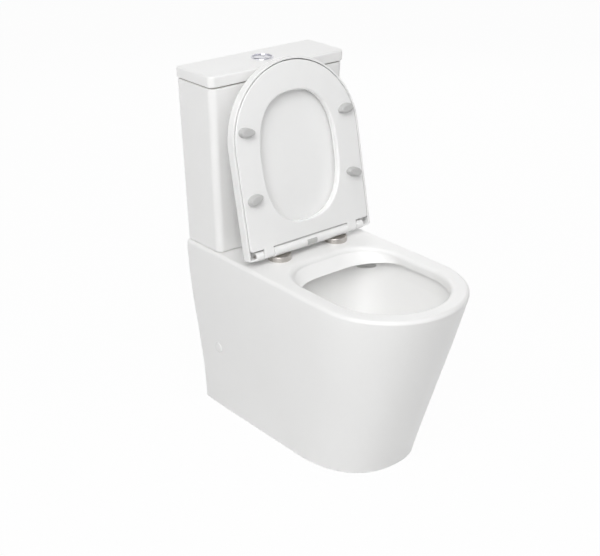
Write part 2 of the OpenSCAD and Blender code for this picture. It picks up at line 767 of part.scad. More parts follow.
seat_top = seat_t - under;
pocket_hw = seat_hw + wrap_gap;
cover_hw = pocket_hw + wrap_t;
nose_y = seat_hw - seat_reach;
cover_under = max(seat_top + 2, bar_r) + 0.7;
cover_top = cover_under + cover_t;
cover_low = 1 - under;
cover_back = 6.5;
eye_gap = 1;
seat_eye_x = bar_hl + eye_gap;
seat_eye_w = 26;
lid_eye_x = seat_eye_x + seat_eye_w + 1.5;
lid_eye_w = 20;
damper_r = 7;

// Half of a plate's cross section, from its middle line to its rounded edge
module edge_profile(hw, low, top, r_low, r_top) {
    difference() {
        translate([0, low]) square([hw, top - low]);
        translate([hw - r_top, top - r_top]) difference() {
            square(r_top + 1);
            circle(r = r_top, $fn = 48);
        }
        translate([hw - r_low, low + r_low]) mirror([0, 1]) difference() {
            square(r_low + 1);
            circle(r = r_low, $fn = 32);
        }
    }
}

// Plate with straight sides and a half-round front, from back_y to the nose
module d_plate(hw, low, top, r_low, r_top, back_y) {
    translate([0, nose_y, 0]) rotate([0, 0, 180])
        rotate_extrude(angle = 180, $fn = 96) edge_profile(hw, low, top, r_low, r_top);
    translate([0, back_y, 0]) rotate([90, 0, 0]) linear_extrude(back_y - nose_y) {
        edge_profile(hw, low, top, r_low, r_top);
        mirror([1, 0]) edge_profile(hw, low, top, r_low, r_top);
    }
}

HOLE_STEPS = 48;
function hole_plan(grow) =
    [for (i = [0 : HOLE_STEPS - 1]) let (t = 360 * i / HOLE_STEPS)
        [(hole_hw + grow) * sgn_pow(cos(t), 0.8), -hole_out + (hole_hl + grow) * sgn_pow(sin(t), 0.8)]];

module seat_hole() {
    soft = 6;
    loft(concat(
        [ring_at(hole_plan(3), -under - 1)],
        [for (a = [90, 45, 0]) ring_at(hole_plan(3 * (1 - cos(a))), -under + 3 * (1 - sin(a)))],
        [for (a = [0, 30, 60, 90])
            ring_at(hole_plan(soft * (1 - cos(a))), seat_top - soft * (1 - sin(a)))],
        [ring_at(hole_plan(soft), seat_top + 1)]));
}

module eye(x, w, bore) {
    translate([x, 0, 0]) rotate([0, 90, 0]) cylinder(r = bore, h = w, center = true, $fn = 48);
}

module seat() color(PLASTIC) raised()
difference() {
    union() {
        d_plate(seat_hw, -under, seat_top, 1.5, 7, -seat_back);
        for (s = [-1, 1]) {
            eye(s * (seat_eye_x + seat_eye_w / 2), seat_eye_w, eye_r);
            translate([s * (seat_eye_x + seat_eye_w / 2) - seat_eye_w / 2, -seat_back - 6, -under])
                cube([seat_eye_w, seat_back + 6, seat_top + under]);
        }
    }
    seat_hole();
    for (s = [-1, 1])
        eye(s * (seat_eye_x + seat_eye_w / 2), seat_eye_w + 2, damper_r + run);
}

// Oval pads that rest on the rim
buffer_h = hinge_up - under - slip;
BUFFER_STEPS = 20;
// Place of each pad on one side: across, from the hinge axis, turn in degrees
BUFFERS = [[139, 270.6, 8], [141, 125.6, -16]];
function buffer_plan(grow) =
    [for (i = [0 : BUFFER_STEPS - 1]) let (t = 360 * i / BUFFER_STEPS, tip = 1 - 0.16 * cos(t))
        [(19 + grow) * cos(t), (11.5 + grow) * sin(t) / tip * 0.95]];

module seat_buffers() color(GREY_RUBBER) raised()
for (s = [0, 1], b = BUFFERS) mirror([s, 0, 0])
    translate([b[0], -b[1], -under]) rotate([180, 0, 0]) rotate([0, 0, b[2]])
        loft(concat(
            [for (z = [0, buffer_h - 4]) ring_at(buffer_plan(-z / 8), z)],
            [for (a = [45, 90]) ring_at(buffer_plan(-0.7 - 4 * (1 - cos(a))), buffer_h - 4 * (1 - sin(a)))]));

// A damper turns its body with the eye; the pin is its shaft
module sleeve(x, w) {
    difference() {
        eye(x, w, damper_r);
        eye(x, w + 2, pin_r + run);
    }
}

module seat_damper() color(GREY_RUBBER) raised() sleeve(-seat_eye_x - seat_eye_w / 2, seat_eye_w);
module seat_bush() color(PLASTIC) raised() sleeve(seat_eye_x + seat_eye_w / 2, seat_eye_w);
module lid_damper() color(GREY_RUBBER) raised() sleeve(lid_eye_x + lid_eye_w / 2, lid_eye_w);
module lid_bush() color(PLASTIC) raised() sleeve(-lid_eye_x - lid_eye_w / 2, lid_eye_w);

module seat_lid() color(PLASTIC) raised()
difference() {
    union() {
        difference() {
            d_plate(cover_hw, cover_low, cover_top, 1.2, cover_r, cover_back);
            // Pocket for the seat
            translate([0, nose_y, cover_low - 1]) {
                cylinder(r = pocket_hw, h = cover_under - cover_low + 1, $fn = 96);
                translate([-pocket_hw, 0, 0])
                    cube([2 * pocket_hw, cover_back - wrap_t - nose_y, cover_under - cover_low + 1]);
            }
            // Way out for the hinge bar and the eyes of the seat
            translate([-lid_eye_x - 2, -20, cover_low - 1])
                cube([2 * lid_eye_x + 4, 40, cover_under - cover_low + 1]);
        }
        for (s = [-1, 1]) {
            eye(s * (lid_eye_x + lid_eye_w / 2), lid_eye_w, eye_r);
            translate([s * (lid_eye_x + lid_eye_w / 2) - lid_eye_w / 2, -eye_r, 0])
                cube([lid_eye_w, eye_r + cover_back, cover_under + 1]);
        }
    }
    for (s = [-1, 1])
        eye(s * (lid_eye_x + lid_eye_w / 2), lid_eye_w + 2, damper_r + run);
}

// Pads between the lid and the seat
module lid_buffers() color(GREY_RUBBER) raised()
for (s = [-1, 1], b = [[120, 67], [95, 348]])
    translate([s * b[0], -b[1], seat_top + slip]) cylinder(r = 6, h = cover_under - seat_top - slip, $fn = 32);

// ---- hinge bar and its fixings ----

release_w = 28;
release_h = 13;
release_travel = 2.5;
release_face = bar_r + 0.6;
base_h = hinge_up - bar_r;
boss_r = 4.8;
boss_h = 4.5;
stud_r = 3.5;
stud_h = 1.6;
pin_in = 60;

module at_hinge() translate([0, hinge_y, hinge_z]) children();
module at_fixings(z) for (s = [-1, 1]) translate([s * fix_x, wall_y - fix_out, z]) children();

module release_block(grow, y0, y1)
    translate([-release_w / 2 - grow, y0, -release_h / 2 - grow])
        cube([release_w + 2 * grow, y1 - y0, release_h + 2 * grow]);

module hinge_bar() color(PLASTIC)
difference() {
    union() {
        at_hinge() eye(0, 2 * bar_hl, bar_r);
        at_fixings(deck_h + base_h) cylinder(r = boss_r, h = boss_h, $fn = 48);
    }
    at_hinge() {
        for (s = [-1, 1])
            eye(s * (pin_in + bar_hl) / 2, bar_hl - pin_in + 2 * eps, pin_r + run);
        release_block(slip, -20, 1 + slip);
    }
    at_fixings(deck_h + base_h - 1) cylinder(r = stud_r + run, h = stud_h + 1 + slip, $fn = 32);
}

module hinge_release_button() color(GREY_RUBBER)
at_hinge() intersection() {
    release_block(0, -release_face, 1 - release_travel);
    eye(0, release_w + 2, release_face);
}

module hinge_pins() color(STEEL)
at_hinge() for (s = [-1, 1])
    eye(s * (pin_in + lid_eye_x + lid_eye_w) / 2, lid_eye_x + lid_eye_w - pin_in, pin_r);

module hinge_bases() color(STEEL)
at_fixings(deck_h) difference() {
    union() {
        rotate_extrude($fn = 72) difference() {
            square([base_r, base_h]);
            translate([base_r - 2, base_h - 2]) difference() {
                square(3);
                circle(r = 2, $fn = 32);
            }
        }
        cylinder(r = stud_r, h = base_h + stud_h, $fn = 32);
    }
    translate([0, 0, -1]) cylinder(r = hinge_bolt_r + run, h = base_h, $fn = 32);
}

hinge_bolt_r = 3;
plug_len = 28;
plug_wall = 0.05;

module hinge_bolts() color(STEEL)
at_fixings(deck_h - plug_len - 12) cylinder(r = hinge_bolt_r, h = plug_len + 12 + base_h - 1.2, $fn = 32);

module hinge_plugs() color(BLACK_RUBBER)
at_fixings(deck_h - plug_len) difference() {
    union() {
        cylinder(r = plug_r - plug_wall, h = plug_len, $fn = 32);
        translate([0, 0, 3]) cylinder(r = plug_r + 4, h = plug_len - deck_t - 3.2, $fn = 32);
    }
    translate([0, 0, -1]) cylinder(r = hinge_bolt_r + run, h = plug_len + 2, $fn = 32);
}

module hinge_nuts() color(BRASS)
at_fixings(deck_h - plug_len - 6) difference() {
    cylinder(r = 6.5, h = 6, $fn = 6);
    translate([0, 0, -1]) cylinder(r = hinge_bolt_r + run, h = 8, $fn = 32);
}

// ---- fixings to the floor ----

bracket_len = 36;
bracket_top = side_fix_h + 20;
bracket_gap = 0.4;
floor_hole_r = 4;
floor_hole_x = foot_hw - skirt_t - 32;

module floor_brackets() color(PLASTIC)
for (s = [0, 1]) mirror([s, 0, 0]) difference() {
    translate([0, wall_y - side_fix_out + bracket_len / 2, 0]) rotate([90, 0, 0])
        linear_extrude(bracket_len) polygon(concat(
            [[floor_hole_x - 16, 0]],
            [for (z = [0, 40, 80, 120, 160, bracket_top]) [side_at(z) - skirt_t - bracket_gap, z]],
            [[side_at(bracket_top) - skirt_t - 22, bracket_top],
             [foot_hw - skirt_t - 14, 8], [floor_hole_x - 16, 8]]));
    translate([floor_hole_x, wall_y - side_fix_out, -1])
        cylinder(r = floor_hole_r, h = 10, $fn = 32);
    translate([side_at(side_fix_h) - 50, wall_y - side_fix_out, side_fix_h])
        rotate([0, 90, 0]) cylinder(r = screw_r + run, h = 60, $fn = 24);
}

screw_r = 2.5;
screw_len = 40;
head_h = 3;

module bracket_screws() color(STEEL)
at_side_fixings() {
    translate([0, 0, -cover_seat_t - head_h - screw_len]) cylinder(r = screw_r, h = screw_len + 1, $fn = 24);
    translate([0, 0, -cover_seat_t - head_h]) cylinder(r = 3.3, h = head_h - 0.2, $fn = 24);
}

module screw_covers() color(CERAMIC)
at_side_fixings() translate([0, 0, -cover_seat_t]) rotate_extrude($fn = 48) difference() {
    square([cover_r_out, 5.5]);
    translate([cover_r_out - 1.5, 4]) difference() {
        square(3);
        circle(r = 1.5, $fn = 24);
    }
}

pan();
tank();
tank_lid();
button_bezel();
button_locknut();
full_flush_button();
half_flush_button();
full_button_spring();
half_button_spring();
flush_valve_body();
flush_valve_piston();
flush_valve_seal();
flush_valve_washer();
flush_valve_nut();
coupling_gasket();
coupling_bolts();
coupling_bolt_washers();
coupling_wing_nuts();
fill_valve_body();
fill_valve_float();
fill_valve_washer();
fill_valve_nut();
seat();
seat_buffers();
seat_damper();
seat_bush();
seat_lid();
lid_buffers();
lid_damper();
lid_bush();
hinge_bar();
hinge_release_button();
hinge_pins();
hinge_bases();
hinge_bolts();
hinge_plugs();
hinge_nuts();
floor_brackets();
bracket_screws();
screw_covers();
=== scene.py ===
# %% [markdown]
# # A back to wall toilet, dressed in Blender
#
# The toilet was drawn as solids first, and those solids are loaded here as a fixed
# frame. This lesson gives them soft edges, glaze, plastic, steel and the light of a
# studio photograph. Every length is in metres, +Z is up, the front of the toilet
# looks along -Y and the wall stands behind it at +Y.

# %% Load the solids
import json
import math

import bmesh
import bpy
from mathutils import Matrix, Vector


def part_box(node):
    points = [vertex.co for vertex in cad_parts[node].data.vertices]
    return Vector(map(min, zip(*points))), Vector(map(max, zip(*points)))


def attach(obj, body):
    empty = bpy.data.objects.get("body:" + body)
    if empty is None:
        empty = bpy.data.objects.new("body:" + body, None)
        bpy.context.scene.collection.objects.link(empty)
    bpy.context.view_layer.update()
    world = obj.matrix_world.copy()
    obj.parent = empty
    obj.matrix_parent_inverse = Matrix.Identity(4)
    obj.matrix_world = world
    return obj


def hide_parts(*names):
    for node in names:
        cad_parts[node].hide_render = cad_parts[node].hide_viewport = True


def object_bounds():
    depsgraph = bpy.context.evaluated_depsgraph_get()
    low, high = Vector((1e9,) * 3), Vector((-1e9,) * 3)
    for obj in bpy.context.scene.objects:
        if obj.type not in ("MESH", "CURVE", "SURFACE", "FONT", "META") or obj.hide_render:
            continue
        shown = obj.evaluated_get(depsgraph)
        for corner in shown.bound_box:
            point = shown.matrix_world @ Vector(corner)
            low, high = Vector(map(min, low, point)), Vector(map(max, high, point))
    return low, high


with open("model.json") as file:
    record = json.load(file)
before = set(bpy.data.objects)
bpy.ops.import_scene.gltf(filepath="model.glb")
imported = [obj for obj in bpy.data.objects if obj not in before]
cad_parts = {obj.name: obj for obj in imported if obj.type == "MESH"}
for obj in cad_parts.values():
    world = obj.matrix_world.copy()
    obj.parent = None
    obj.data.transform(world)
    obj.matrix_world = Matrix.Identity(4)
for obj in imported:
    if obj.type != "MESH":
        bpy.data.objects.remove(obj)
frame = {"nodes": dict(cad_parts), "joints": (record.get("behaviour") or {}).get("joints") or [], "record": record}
cad_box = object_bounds()
MM = 0.001
WALL = cad_box[1].y / MM
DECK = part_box("pan")[1].z
HINGE = Vector(frame["joints"][0]["pos_m"])
OPEN = math.radians(frame["joints"][0]["range_deg"][1])
print(len(frame["nodes"]), "solids; wall at", round(WALL, 1), "mm, deck at", round(DECK / MM, 1), "mm")

# %% [markdown]
# ## Camera
#
# A product photographer stands well back with a long lens, which keeps upright edges
# nearly parallel. Here the camera stands 40 degrees round to the left and looks 24.5
# degrees down, so one side, the front and every top surface can be seen at once.

# %% Camera
CAMERA_PLACE = (-1.6644, -1.8584, 1.5245)
CAMERA_ROUND = math.radians(-39.9)
CAMERA_DOWN = math.radians(24.5)
back = Vector((math.sin(CAMERA_ROUND) * math.cos(CAMERA_DOWN),
               -math.cos(CAMERA_ROUND) * math.cos(CAMERA_DOWN),
               math.sin(CAMERA_DOWN)))
bpy.ops.object.camera_add(location=CAMERA_PLACE,
                          rotation=(-back).to_track_quat("-Z", "Y").to_euler())
camera = bpy.context.object
camera.name = "camera"
camera.data.lens = 74.78
camera.data.sensor_width = 36.0
bpy.context.scene.camera = camera
print("camera", round(camera.location.length, 2), "m from the origin, lens", camera.data.lens, "mm")

# %% [markdown]
# ## Shader arithmetic
#
# A finish is a small formula. The first class wraps the output of a node, so that a
# pattern can be written as plain Python, such as `1 - mask * 0.2`, and each operator
# adds its Math node. The second class adds nodes to a node tree, which may light the
# scene or colour a piece, and the third one holds a material while it is being made.


# %% Outputs that can be added and multiplied
class Wire:
    """A node's output that can be used in arithmetic."""

    def __init__(self, shading, socket):
        self.shading, self.socket = shading, socket

    def math(self, operation, *values):
        return self.shading.node("ShaderNodeMath", {"operation": operation}, dict(enumerate(values)))

    def __add__(self, other):
        return self.math("ADD", self, other)

    def __sub__(self, other):
        return self.math("SUBTRACT", self, other)

    def __rsub__(self, other):
        return self.math("SUBTRACT", other, self)

    def __mul__(self, other):
        return self.math("MULTIPLY", self, other)

    def __pow__(self, other):
        return self.math("POWER", self, other)

    def __abs__(self):
        return self.math("ABSOLUTE", self)


class Shading:
    """A node tree under construction, emptied first."""

    def __init__(self, tree, end):
        self.tree = tree
        tree.nodes.clear()
        self.end = tree.nodes.new(end)

    def node(self, kind, settings=None, values=None, output=0):
        """Adds a node, sets it up, fills its sockets, and returns one of its outputs."""
        made = self.tree.nodes.new(kind)
        for key, value in (settings or {}).items():
            setattr(made, key, value)
        for key, value in (values or {}).items():
            self.feed(made.inputs[key], value)
        return Wire(self, made.outputs[output])

    def feed(self, socket, value):
        if isinstance(value, Wire):
            self.tree.links.new(value.socket, socket)
        else:
            socket.default_value = value

    def axes(self, place):
        """The X, Y and Z of a place, as three wires."""
        return [self.node("ShaderNodeSeparateXYZ", None, {0: place}, output=i) for i in range(3)]

    def rays(self):
        """Whether a ray is the camera's, a reflection or a passage through glass."""
        return [self.node("ShaderNodeLightPath", output=name)
                for name in ("Is Camera Ray", "Is Glossy Ray", "Is Transmission Ray")]

    def blend(self, share, first, second):
        """A colour between two, by a share from 0 to 1."""
        first, second = (c if isinstance(c, Wire) else (*c, 1.0) for c in (first, second))
        return self.node("ShaderNodeMix", {"data_type": "RGBA"}, {0: share, 6: first, 7: second}, output=2)


class Finish(Shading):
    """A material under construction, with one shader."""

    def __init__(self, name, **shader_values):
        self.material = bpy.data.materials.new(name)
        self.material.use_nodes = True
        super().__init__(self.material.node_tree, "ShaderNodeOutputMaterial")
        self.shader = self.tree.nodes.new("ShaderNodeBsdfPrincipled")
        self.tree.links.new(self.shader.outputs["BSDF"], self.end.inputs["Surface"])
        self.set(**shader_values)

    def set(self, **values):
        """Sets the shader's own sockets: base_color becomes Base Color."""
        for key, value in values.items():
            name = " ".join(w if w == "IOR" else w.capitalize() for w in key.split("_"))
            if key.endswith("color") and not isinstance(value, Wire):
                value = (*value, 1.0)
            self.feed(self.shader.inputs[name], value)

    def place(self):
        """The point on the piece, in metres."""
        return self.node("ShaderNodeTexCoord", output="Object")

    def noise(self, scale, detail=2.0, where=None):
        return self.node("ShaderNodeTexNoise", None,
                         {"Vector": where or self.place(), "Scale": scale, "Detail": detail})

    def bump(self, height, depth, strength):
        self.set(normal=self.node("ShaderNodeBump", None, {
            "Height": height, "Distance": depth, "Strength": strength}))


# %% [markdown]
# ## Finishes
#
# Vitreous china is fired clay under a thick clear glaze. It is smooth but never
# flat: the glaze carries a faint waviness from the kiln, and its white shifts a
# little where it pooled. A clear coat over a soft white body gives that depth. Where
# the lid stands on the tank, a narrow dark band is painted into the joint. It stands
# for the bare clay where the glaze is wiped off, and, being far darker than bare
# clay, for painted shade in the gap between lid and tank.


# %% Glazed ceramic
LID_EDGE = 25.0
JOINT_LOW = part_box("tank")[1].z - 0.2 * MM
JOINT_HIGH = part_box("tank_lid")[1].z - (LID_EDGE - 0.2) * MM
# the colour of the joint band: bare clay, darkened as painted shade of the gap
BARE_CLAY_AND_JOINT_SHADE = (0.30, 0.28, 0.25)


def ceramic_glaze():
    f = Finish("glazed_ceramic", roughness=0.38, coat_weight=0.45, coat_roughness=0.3, coat_IOR=1.5)
    height = f.axes(f.place())[2]
    over_tank = height.math("GREATER_THAN", height, JOINT_LOW)
    under_lid = height.math("LESS_THAN", height, JOINT_HIGH)
    glaze = f.blend(f.noise(6.0), (0.91, 0.907, 0.897), (0.93, 0.93, 0.925))
    # the band between the tank's top and the lid's edge gets the dark colour, painted shade in the joint
    f.set(base_color=f.blend(over_tank * under_lid, glaze, BARE_CLAY_AND_JOINT_SHADE))
    f.bump(f.noise(38.0, 1.0), 0.25 * MM, 0.5)
    return f.material


# %% [markdown]
# The seat is pressed from a hard white resin. It is a touch less glossy than the
# glaze and has a fine orange peel from the mould. The same recipe, with other colours
# and a coarser grain, gives the valve plastics and the soft rubbers.


# %% Plastics and rubbers
def moulded(name, dark, light, roughness, grain, depth, coat=0.0):
    """The grain is counted per metre, and its depth is in millimetres."""
    f = Finish(name, coat_weight=coat, coat_roughness=0.1)
    f.set(base_color=f.blend(f.noise(14.0), dark, light))
    f.set(roughness=f.noise(70.0) * 0.08 + (roughness - 0.04))
    f.bump(f.noise(grain, 3.0), depth * MM, 0.5)
    return f.material


# %% [markdown]
# Metals differ in how they were worked. Plated brass is polished to a mirror, while
# the stainless hinge bases were turned on a lathe, which leaves fine rings round
# each axis. The two bases mirror each other, so the distance to the nearer axis is
# found once, from the absolute value of X.


# %% Metals
def polished(name, colour, roughness):
    f = Finish(name, metallic=1.0)
    f.set(base_color=f.blend(f.noise(30.0), tuple(c * 0.94 for c in colour), colour))
    f.set(roughness=f.noise(160.0, 3.0) * 0.05 + (roughness - 0.025))
    return f.material


def turned_steel(name, dark, light, axis_x, axis_y):
    f = Finish(name, metallic=1.0)
    x, y, z = f.axes(f.place())
    radius = ((abs(x) - axis_x) ** 2 + (y - axis_y) ** 2) ** 0.5
    across = f.node("ShaderNodeCombineXYZ", None, {0: radius * 900.0, 1: z * 900.0, 2: x * 6.0})
    rings = f.noise(1.0, 3.0, across)
    f.set(base_color=f.blend(rings, dark, light))
    f.set(roughness=rings * 0.18 + 0.2)
    f.bump(rings, 0.02 * MM, 0.6)
    return f.material


# %% [markdown]
# The record of each solid names the material slot it belongs to, and the slots carry
# the names of the finishes. So every solid gets its finish here, and a piece that
# later stands for a solid takes the same one.

# %% One finish for each slot
bases_low, bases_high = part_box("hinge_bases")
BASE_RADIUS = (bases_high.y - bases_low.y) / 2 / MM
BASE_X = bases_high.x / MM - BASE_RADIUS
BASE_Y = (bases_low.y + bases_high.y) / 2 / MM
# dark and light colour, roughness, grain, depth of the grain, coat
MOULDED = {
    "white_plastic": ((0.91, 0.91, 0.905), (0.93, 0.93, 0.925), 0.25, 700, 0.03, 0.4),
    "valve_plastic": ((0.62, 0.64, 0.66), (0.68, 0.69, 0.71), 0.42, 900, 0.04),
    "blue_plastic": ((0.02, 0.10, 0.34), (0.03, 0.13, 0.42), 0.4, 900, 0.04),
    "grey_plastic": ((0.55, 0.55, 0.54), (0.59, 0.59, 0.58), 0.45, 900, 0.03),
    "grey_rubber": ((0.52, 0.52, 0.515), (0.56, 0.56, 0.555), 0.5, 1200, 0.04),
    "black_rubber": ((0.02, 0.02, 0.022), (0.035, 0.035, 0.037), 0.6, 900, 0.04),
}
FINISHES = {name: moulded(name, *look) for name, look in MOULDED.items()}
FINISHES["glazed_ceramic"] = ceramic_glaze()
FINISHES["chrome"] = polished("chrome", (0.70, 0.70, 0.74), 0.1)
FINISHES["brass"] = polished("brass", (0.72, 0.52, 0.22), 0.3)
FINISHES["satin_steel"] = turned_steel("satin_steel", (0.40, 0.38, 0.36), (0.62, 0.59, 0.56),
                                       BASE_X * MM, BASE_Y * MM)
SLOT_OF, BODY_OF = {}, {}
for row in frame["record"]["subparts"]:
    SLOT_OF[row["node"]] = row["material_slot"]
    mesh = frame["nodes"][row["node"]].data
    mesh.materials.clear()
    mesh.materials.append(FINISHES[row["material_slot"]])
for body, members in frame["record"]["behaviour"]["bodies"].items():
    BODY_OF.update((member, body) for member in members)
print("finishes:", ", ".join(sorted(FINISHES)))

# %% [markdown]
# ## Modelling by growing rings
#
# Nearly every ceramic or moulded piece here is one skin that can be drawn as a stack
# of rings: up the outside, over a rounded edge, and down the inside. By hand one
# would add a circle, press E to extrude it and move the new ring, again and again.
# `grow` does just that. Each point keeps its number while it is extruded, so every
# ring can be put exactly where its outline says. Outlines are written in millimetres,
# as on a workshop drawing, and `put` turns them into metres.


# %% Growing a skin ring by ring
def put(piece, ring):
    """Moves the selected ring of points onto an outline."""
    mesh = bmesh.from_edit_mesh(piece.data)
    number = mesh.verts.layers.int["number"]
    for vertex in mesh.verts:
        if vertex.select:
            vertex.co = ring[vertex[number]] * MM
    bmesh.update_edit_mesh(piece.data)


def grow(name, rings, loop=False):
    """One skin through all the rings. Its ends are filled, or joined where it is a loop."""
    bpy.ops.object.select_all(action="DESELECT")
    bpy.ops.mesh.primitive_circle_add(vertices=len(rings[0]), radius=0.1)
    piece = bpy.context.object
    piece.name = piece.data.name = name
    bpy.ops.object.mode_set(mode="EDIT")
    bpy.ops.mesh.select_mode(type="VERT")
    bpy.ops.mesh.select_all(action="SELECT")
    mesh = bmesh.from_edit_mesh(piece.data)
    number = mesh.verts.layers.int.new("number")
    for index, vertex in enumerate(mesh.verts):
        vertex[number] = index
    put(piece, rings[0])
    if not loop:
        bpy.ops.mesh.edge_face_add()
        bpy.ops.mesh.select_all(action="SELECT")
    for ring in rings[1:] + (rings[:1] if loop else []):
        bpy.ops.mesh.extrude_edges_move()
        put(piece, ring)
    if not loop:
        bpy.ops.mesh.edge_face_add()
    bpy.ops.mesh.select_all(action="SELECT")
    bpy.ops.mesh.remove_doubles(threshold=1e-6)
    bpy.ops.mesh.normals_make_consistent(inside=False)
    bpy.ops.object.mode_set(mode="OBJECT")
    return piece


# %% [markdown]
# ## Outlines
#
# A ring is an outline seen from above, lifted to a height. Rounded edges come from a
# few rings that step round a quarter circle: `rounding` says how far each of them
# moves in, and how far it stays below the top.


# %% Outlines and rounded edges
def arc(across, along, radius, start, end, steps):
    """Points round part of a circle. The angles are in degrees."""
    turns = [math.radians(start + (end - start) * i / steps) for i in range(steps + 1)]
    return [(across + radius * math.cos(t), along + radius * math.sin(t)) for t in turns]


def level(plan, height):
    return [Vector((x, y, height)) for x, y in plan]


def rounding(radius, steps):
    """How far in and how far down each ring of a rounded edge lies, from side to top."""
    turns = [math.radians(90 * i / steps) for i in range(steps + 1)]
    return [(radius * (1 - math.cos(t)), radius * (1 - math.sin(t))) for t in turns]


def round_box(half_width, rear, front, corner, rear_corner=3.0):
    """A round-cornered box between two distances from the wall."""
    corner, rear_corner = max(corner, 0.3), max(rear_corner, 0.3)
    y_rear, y_front = WALL - rear - rear_corner, WALL - front + corner
    return (arc(rear_corner - half_width, y_rear, rear_corner, 90, 180, 4)
            + arc(corner - half_width, y_front, corner, 180, 270, 10)
            + arc(half_width - corner, y_front, corner, 270, 360, 10)
            + arc(half_width - rear_corner, y_rear, rear_corner, 0, 90, 4))


def mix(first, second, share):
    return first + (second - first) * share


# %% [markdown]
# ## Selecting, joining and cutting
#
# Edit mode works on what is selected, so every step first selects nothing, and then
# the edges or faces that lie where the step needs them. Holes and joined shapes come
# from booleans, applied at once, with the second piece thrown away afterwards: `cut`
# takes it away and `weld` joins it on. What repeats is modelled once, and `copy_of`
# places the others.


# %% Selecting, joining and cutting
def activate(piece):
    bpy.ops.object.select_all(action="DESELECT")
    piece.select_set(True)
    bpy.context.view_layer.objects.active = piece


def pick(piece, kind, wanted):
    """In edit mode, selects the edges or faces whose points are all wanted."""
    bpy.ops.mesh.select_mode(type=kind)
    bpy.ops.mesh.select_all(action="DESELECT")
    mesh = bmesh.from_edit_mesh(piece.data)
    for item in mesh.edges if kind == "EDGE" else mesh.faces:
        if all(wanted(piece.matrix_world @ v.co / MM) for v in item.verts):
            item.select_set(True)
    mesh.select_flush_mode()
    bmesh.update_edit_mesh(piece.data)


def settle(piece):
    """Moves a piece's place, turn and size into its mesh."""
    activate(piece)
    bpy.ops.object.transform_apply(location=True, rotation=True, scale=True)
    return piece


def combine(piece, tool, operation):
    """Applies a boolean of a second piece to a piece, and removes that second one."""
    activate(piece)
    bpy.ops.object.modifier_add(type="BOOLEAN")
    boolean = piece.modifiers[-1]
    boolean.operation = operation
    boolean.object = tool
    boolean.solver = "EXACT"
    bpy.ops.object.modifier_apply(modifier=boolean.name)
    activate(tool)
    bpy.ops.object.delete()


def cut(piece, tool):
    combine(piece, tool, "DIFFERENCE")


def weld(piece, tool):
    combine(piece, tool, "UNION")


def copy_of(piece, move):
    """A copy with its own mesh, moved or turned by a matrix."""
    activate(piece)
    bpy.ops.object.duplicate()
    copy = bpy.context.object
    copy.matrix_world = move @ copy.matrix_world
    return settle(copy)


def join(pieces, name):
    activate(pieces[0])
    for piece in pieces:
        piece.select_set(True)
    bpy.ops.object.join()
    pieces[0].name = pieces[0].data.name = name
    return pieces[0]


def block(low, high):
    """A cutter: a box between two corners."""
    low, high = Vector(low) * MM, Vector(high) * MM
    bpy.ops.object.select_all(action="DESELECT")
    bpy.ops.mesh.primitive_cube_add(size=1.0, location=(low + high) / 2, scale=high - low)
    return settle(bpy.context.object)


def rod(radius, start, end, sides=48):
    """A round bar or a round cutter from one point to another."""
    start, end = Vector(start) * MM, Vector(end) * MM
    bpy.ops.object.select_all(action="DESELECT")
    bpy.ops.mesh.primitive_cylinder_add(
        vertices=sides, radius=radius * MM, depth=(end - start).length,
        location=(start + end) / 2, rotation=(end - start).to_track_quat("Z", "Y").to_euler())
    return settle(bpy.context.object)


def soften_edges(piece, wanted, width, segments=4):
    """Bevels the edges whose two ends are both wanted."""
    activate(piece)
    bpy.ops.object.mode_set(mode="EDIT")
    pick(piece, "EDGE", wanted)
    bpy.ops.mesh.bevel(offset=width * MM, offset_type="OFFSET", segments=segments,
                       affect="EDGES", clamp_overlap=True)
    bpy.ops.object.mode_set(mode="OBJECT")


def dress(piece, node, sharp=32):
    """Shades a finished piece and gives it a node's place, finish and motion."""
    settle(piece)
    bpy.ops.object.shade_smooth_by_angle(angle=math.radians(sharp))
    bpy.ops.object.modifier_add(type="WEIGHTED_NORMAL")
    piece.modifiers[-1].keep_sharp = True
    bpy.ops.object.modifier_apply(modifier=piece.modifiers[-1].name)
    piece.data.materials.clear()
    piece.data.materials.append(FINISHES[SLOT_OF[node]])
    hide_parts(node)
    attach(piece, BODY_OF[node])
    size = [round(side / MM, 1) for side in piece.dimensions]
    print(piece.name, "for", node, size, "mm,", len(piece.data.polygons), "faces")


# %% [markdown]
# ## The tank
#
# The tank is slip cast in one piece: a tapering box with round front corners, walls
# 10 mm thick and a soft lip. It could be a cube with its faces inset and extruded, but
# a cube cannot taper and round at once, so it is grown from the floor up the outside,
# over the lip, and down to a floor with a soft fillet. Then its four holes are cut.

# %% Tank
TANK_LOW, TANK_HIGH = (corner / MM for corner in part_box("tank"))
TANK_FOOT_HALF, TANK_FOOT_DEEP = 170.5, 118.0
TANK_DEEP = WALL - TANK_LOW.y
TANK_WALL, TANK_FLOOR = 10.0, 12.0
TANK_CORNER, TANK_REAR_CORNER = 16.0, 5.0
TANK_FOOT_EDGE, TANK_LIP_OUT, TANK_LIP_IN, TANK_FILLET = 3.0, 4.0, 2.5, 9.0
TANK_BACK = WALL - TANK_HIGH.y
PASS_Y = WALL - TANK_FOOT_DEEP / 2
BOLT_X = 75.0
INLET_X, INLET_Y = -110.0, PASS_Y + 11.0
TANK_HOLES = ((0, PASS_Y, 30.5), (-BOLT_X, PASS_Y, 6.0), (BOLT_X, PASS_Y, 6.0), (INLET_X, INLET_Y, 11.8))


def tank_ring(height, inset):
    up = (height - TANK_LOW.z) / (TANK_HIGH.z - TANK_LOW.z)
    half = mix(TANK_FOOT_HALF, TANK_HIGH.x, up) - inset
    deep = mix(TANK_FOOT_DEEP, TANK_DEEP, up) - inset
    corners = TANK_CORNER - inset / 2, TANK_REAR_CORNER - inset / 3
    return level(round_box(half, TANK_BACK + inset, deep, *corners), height)


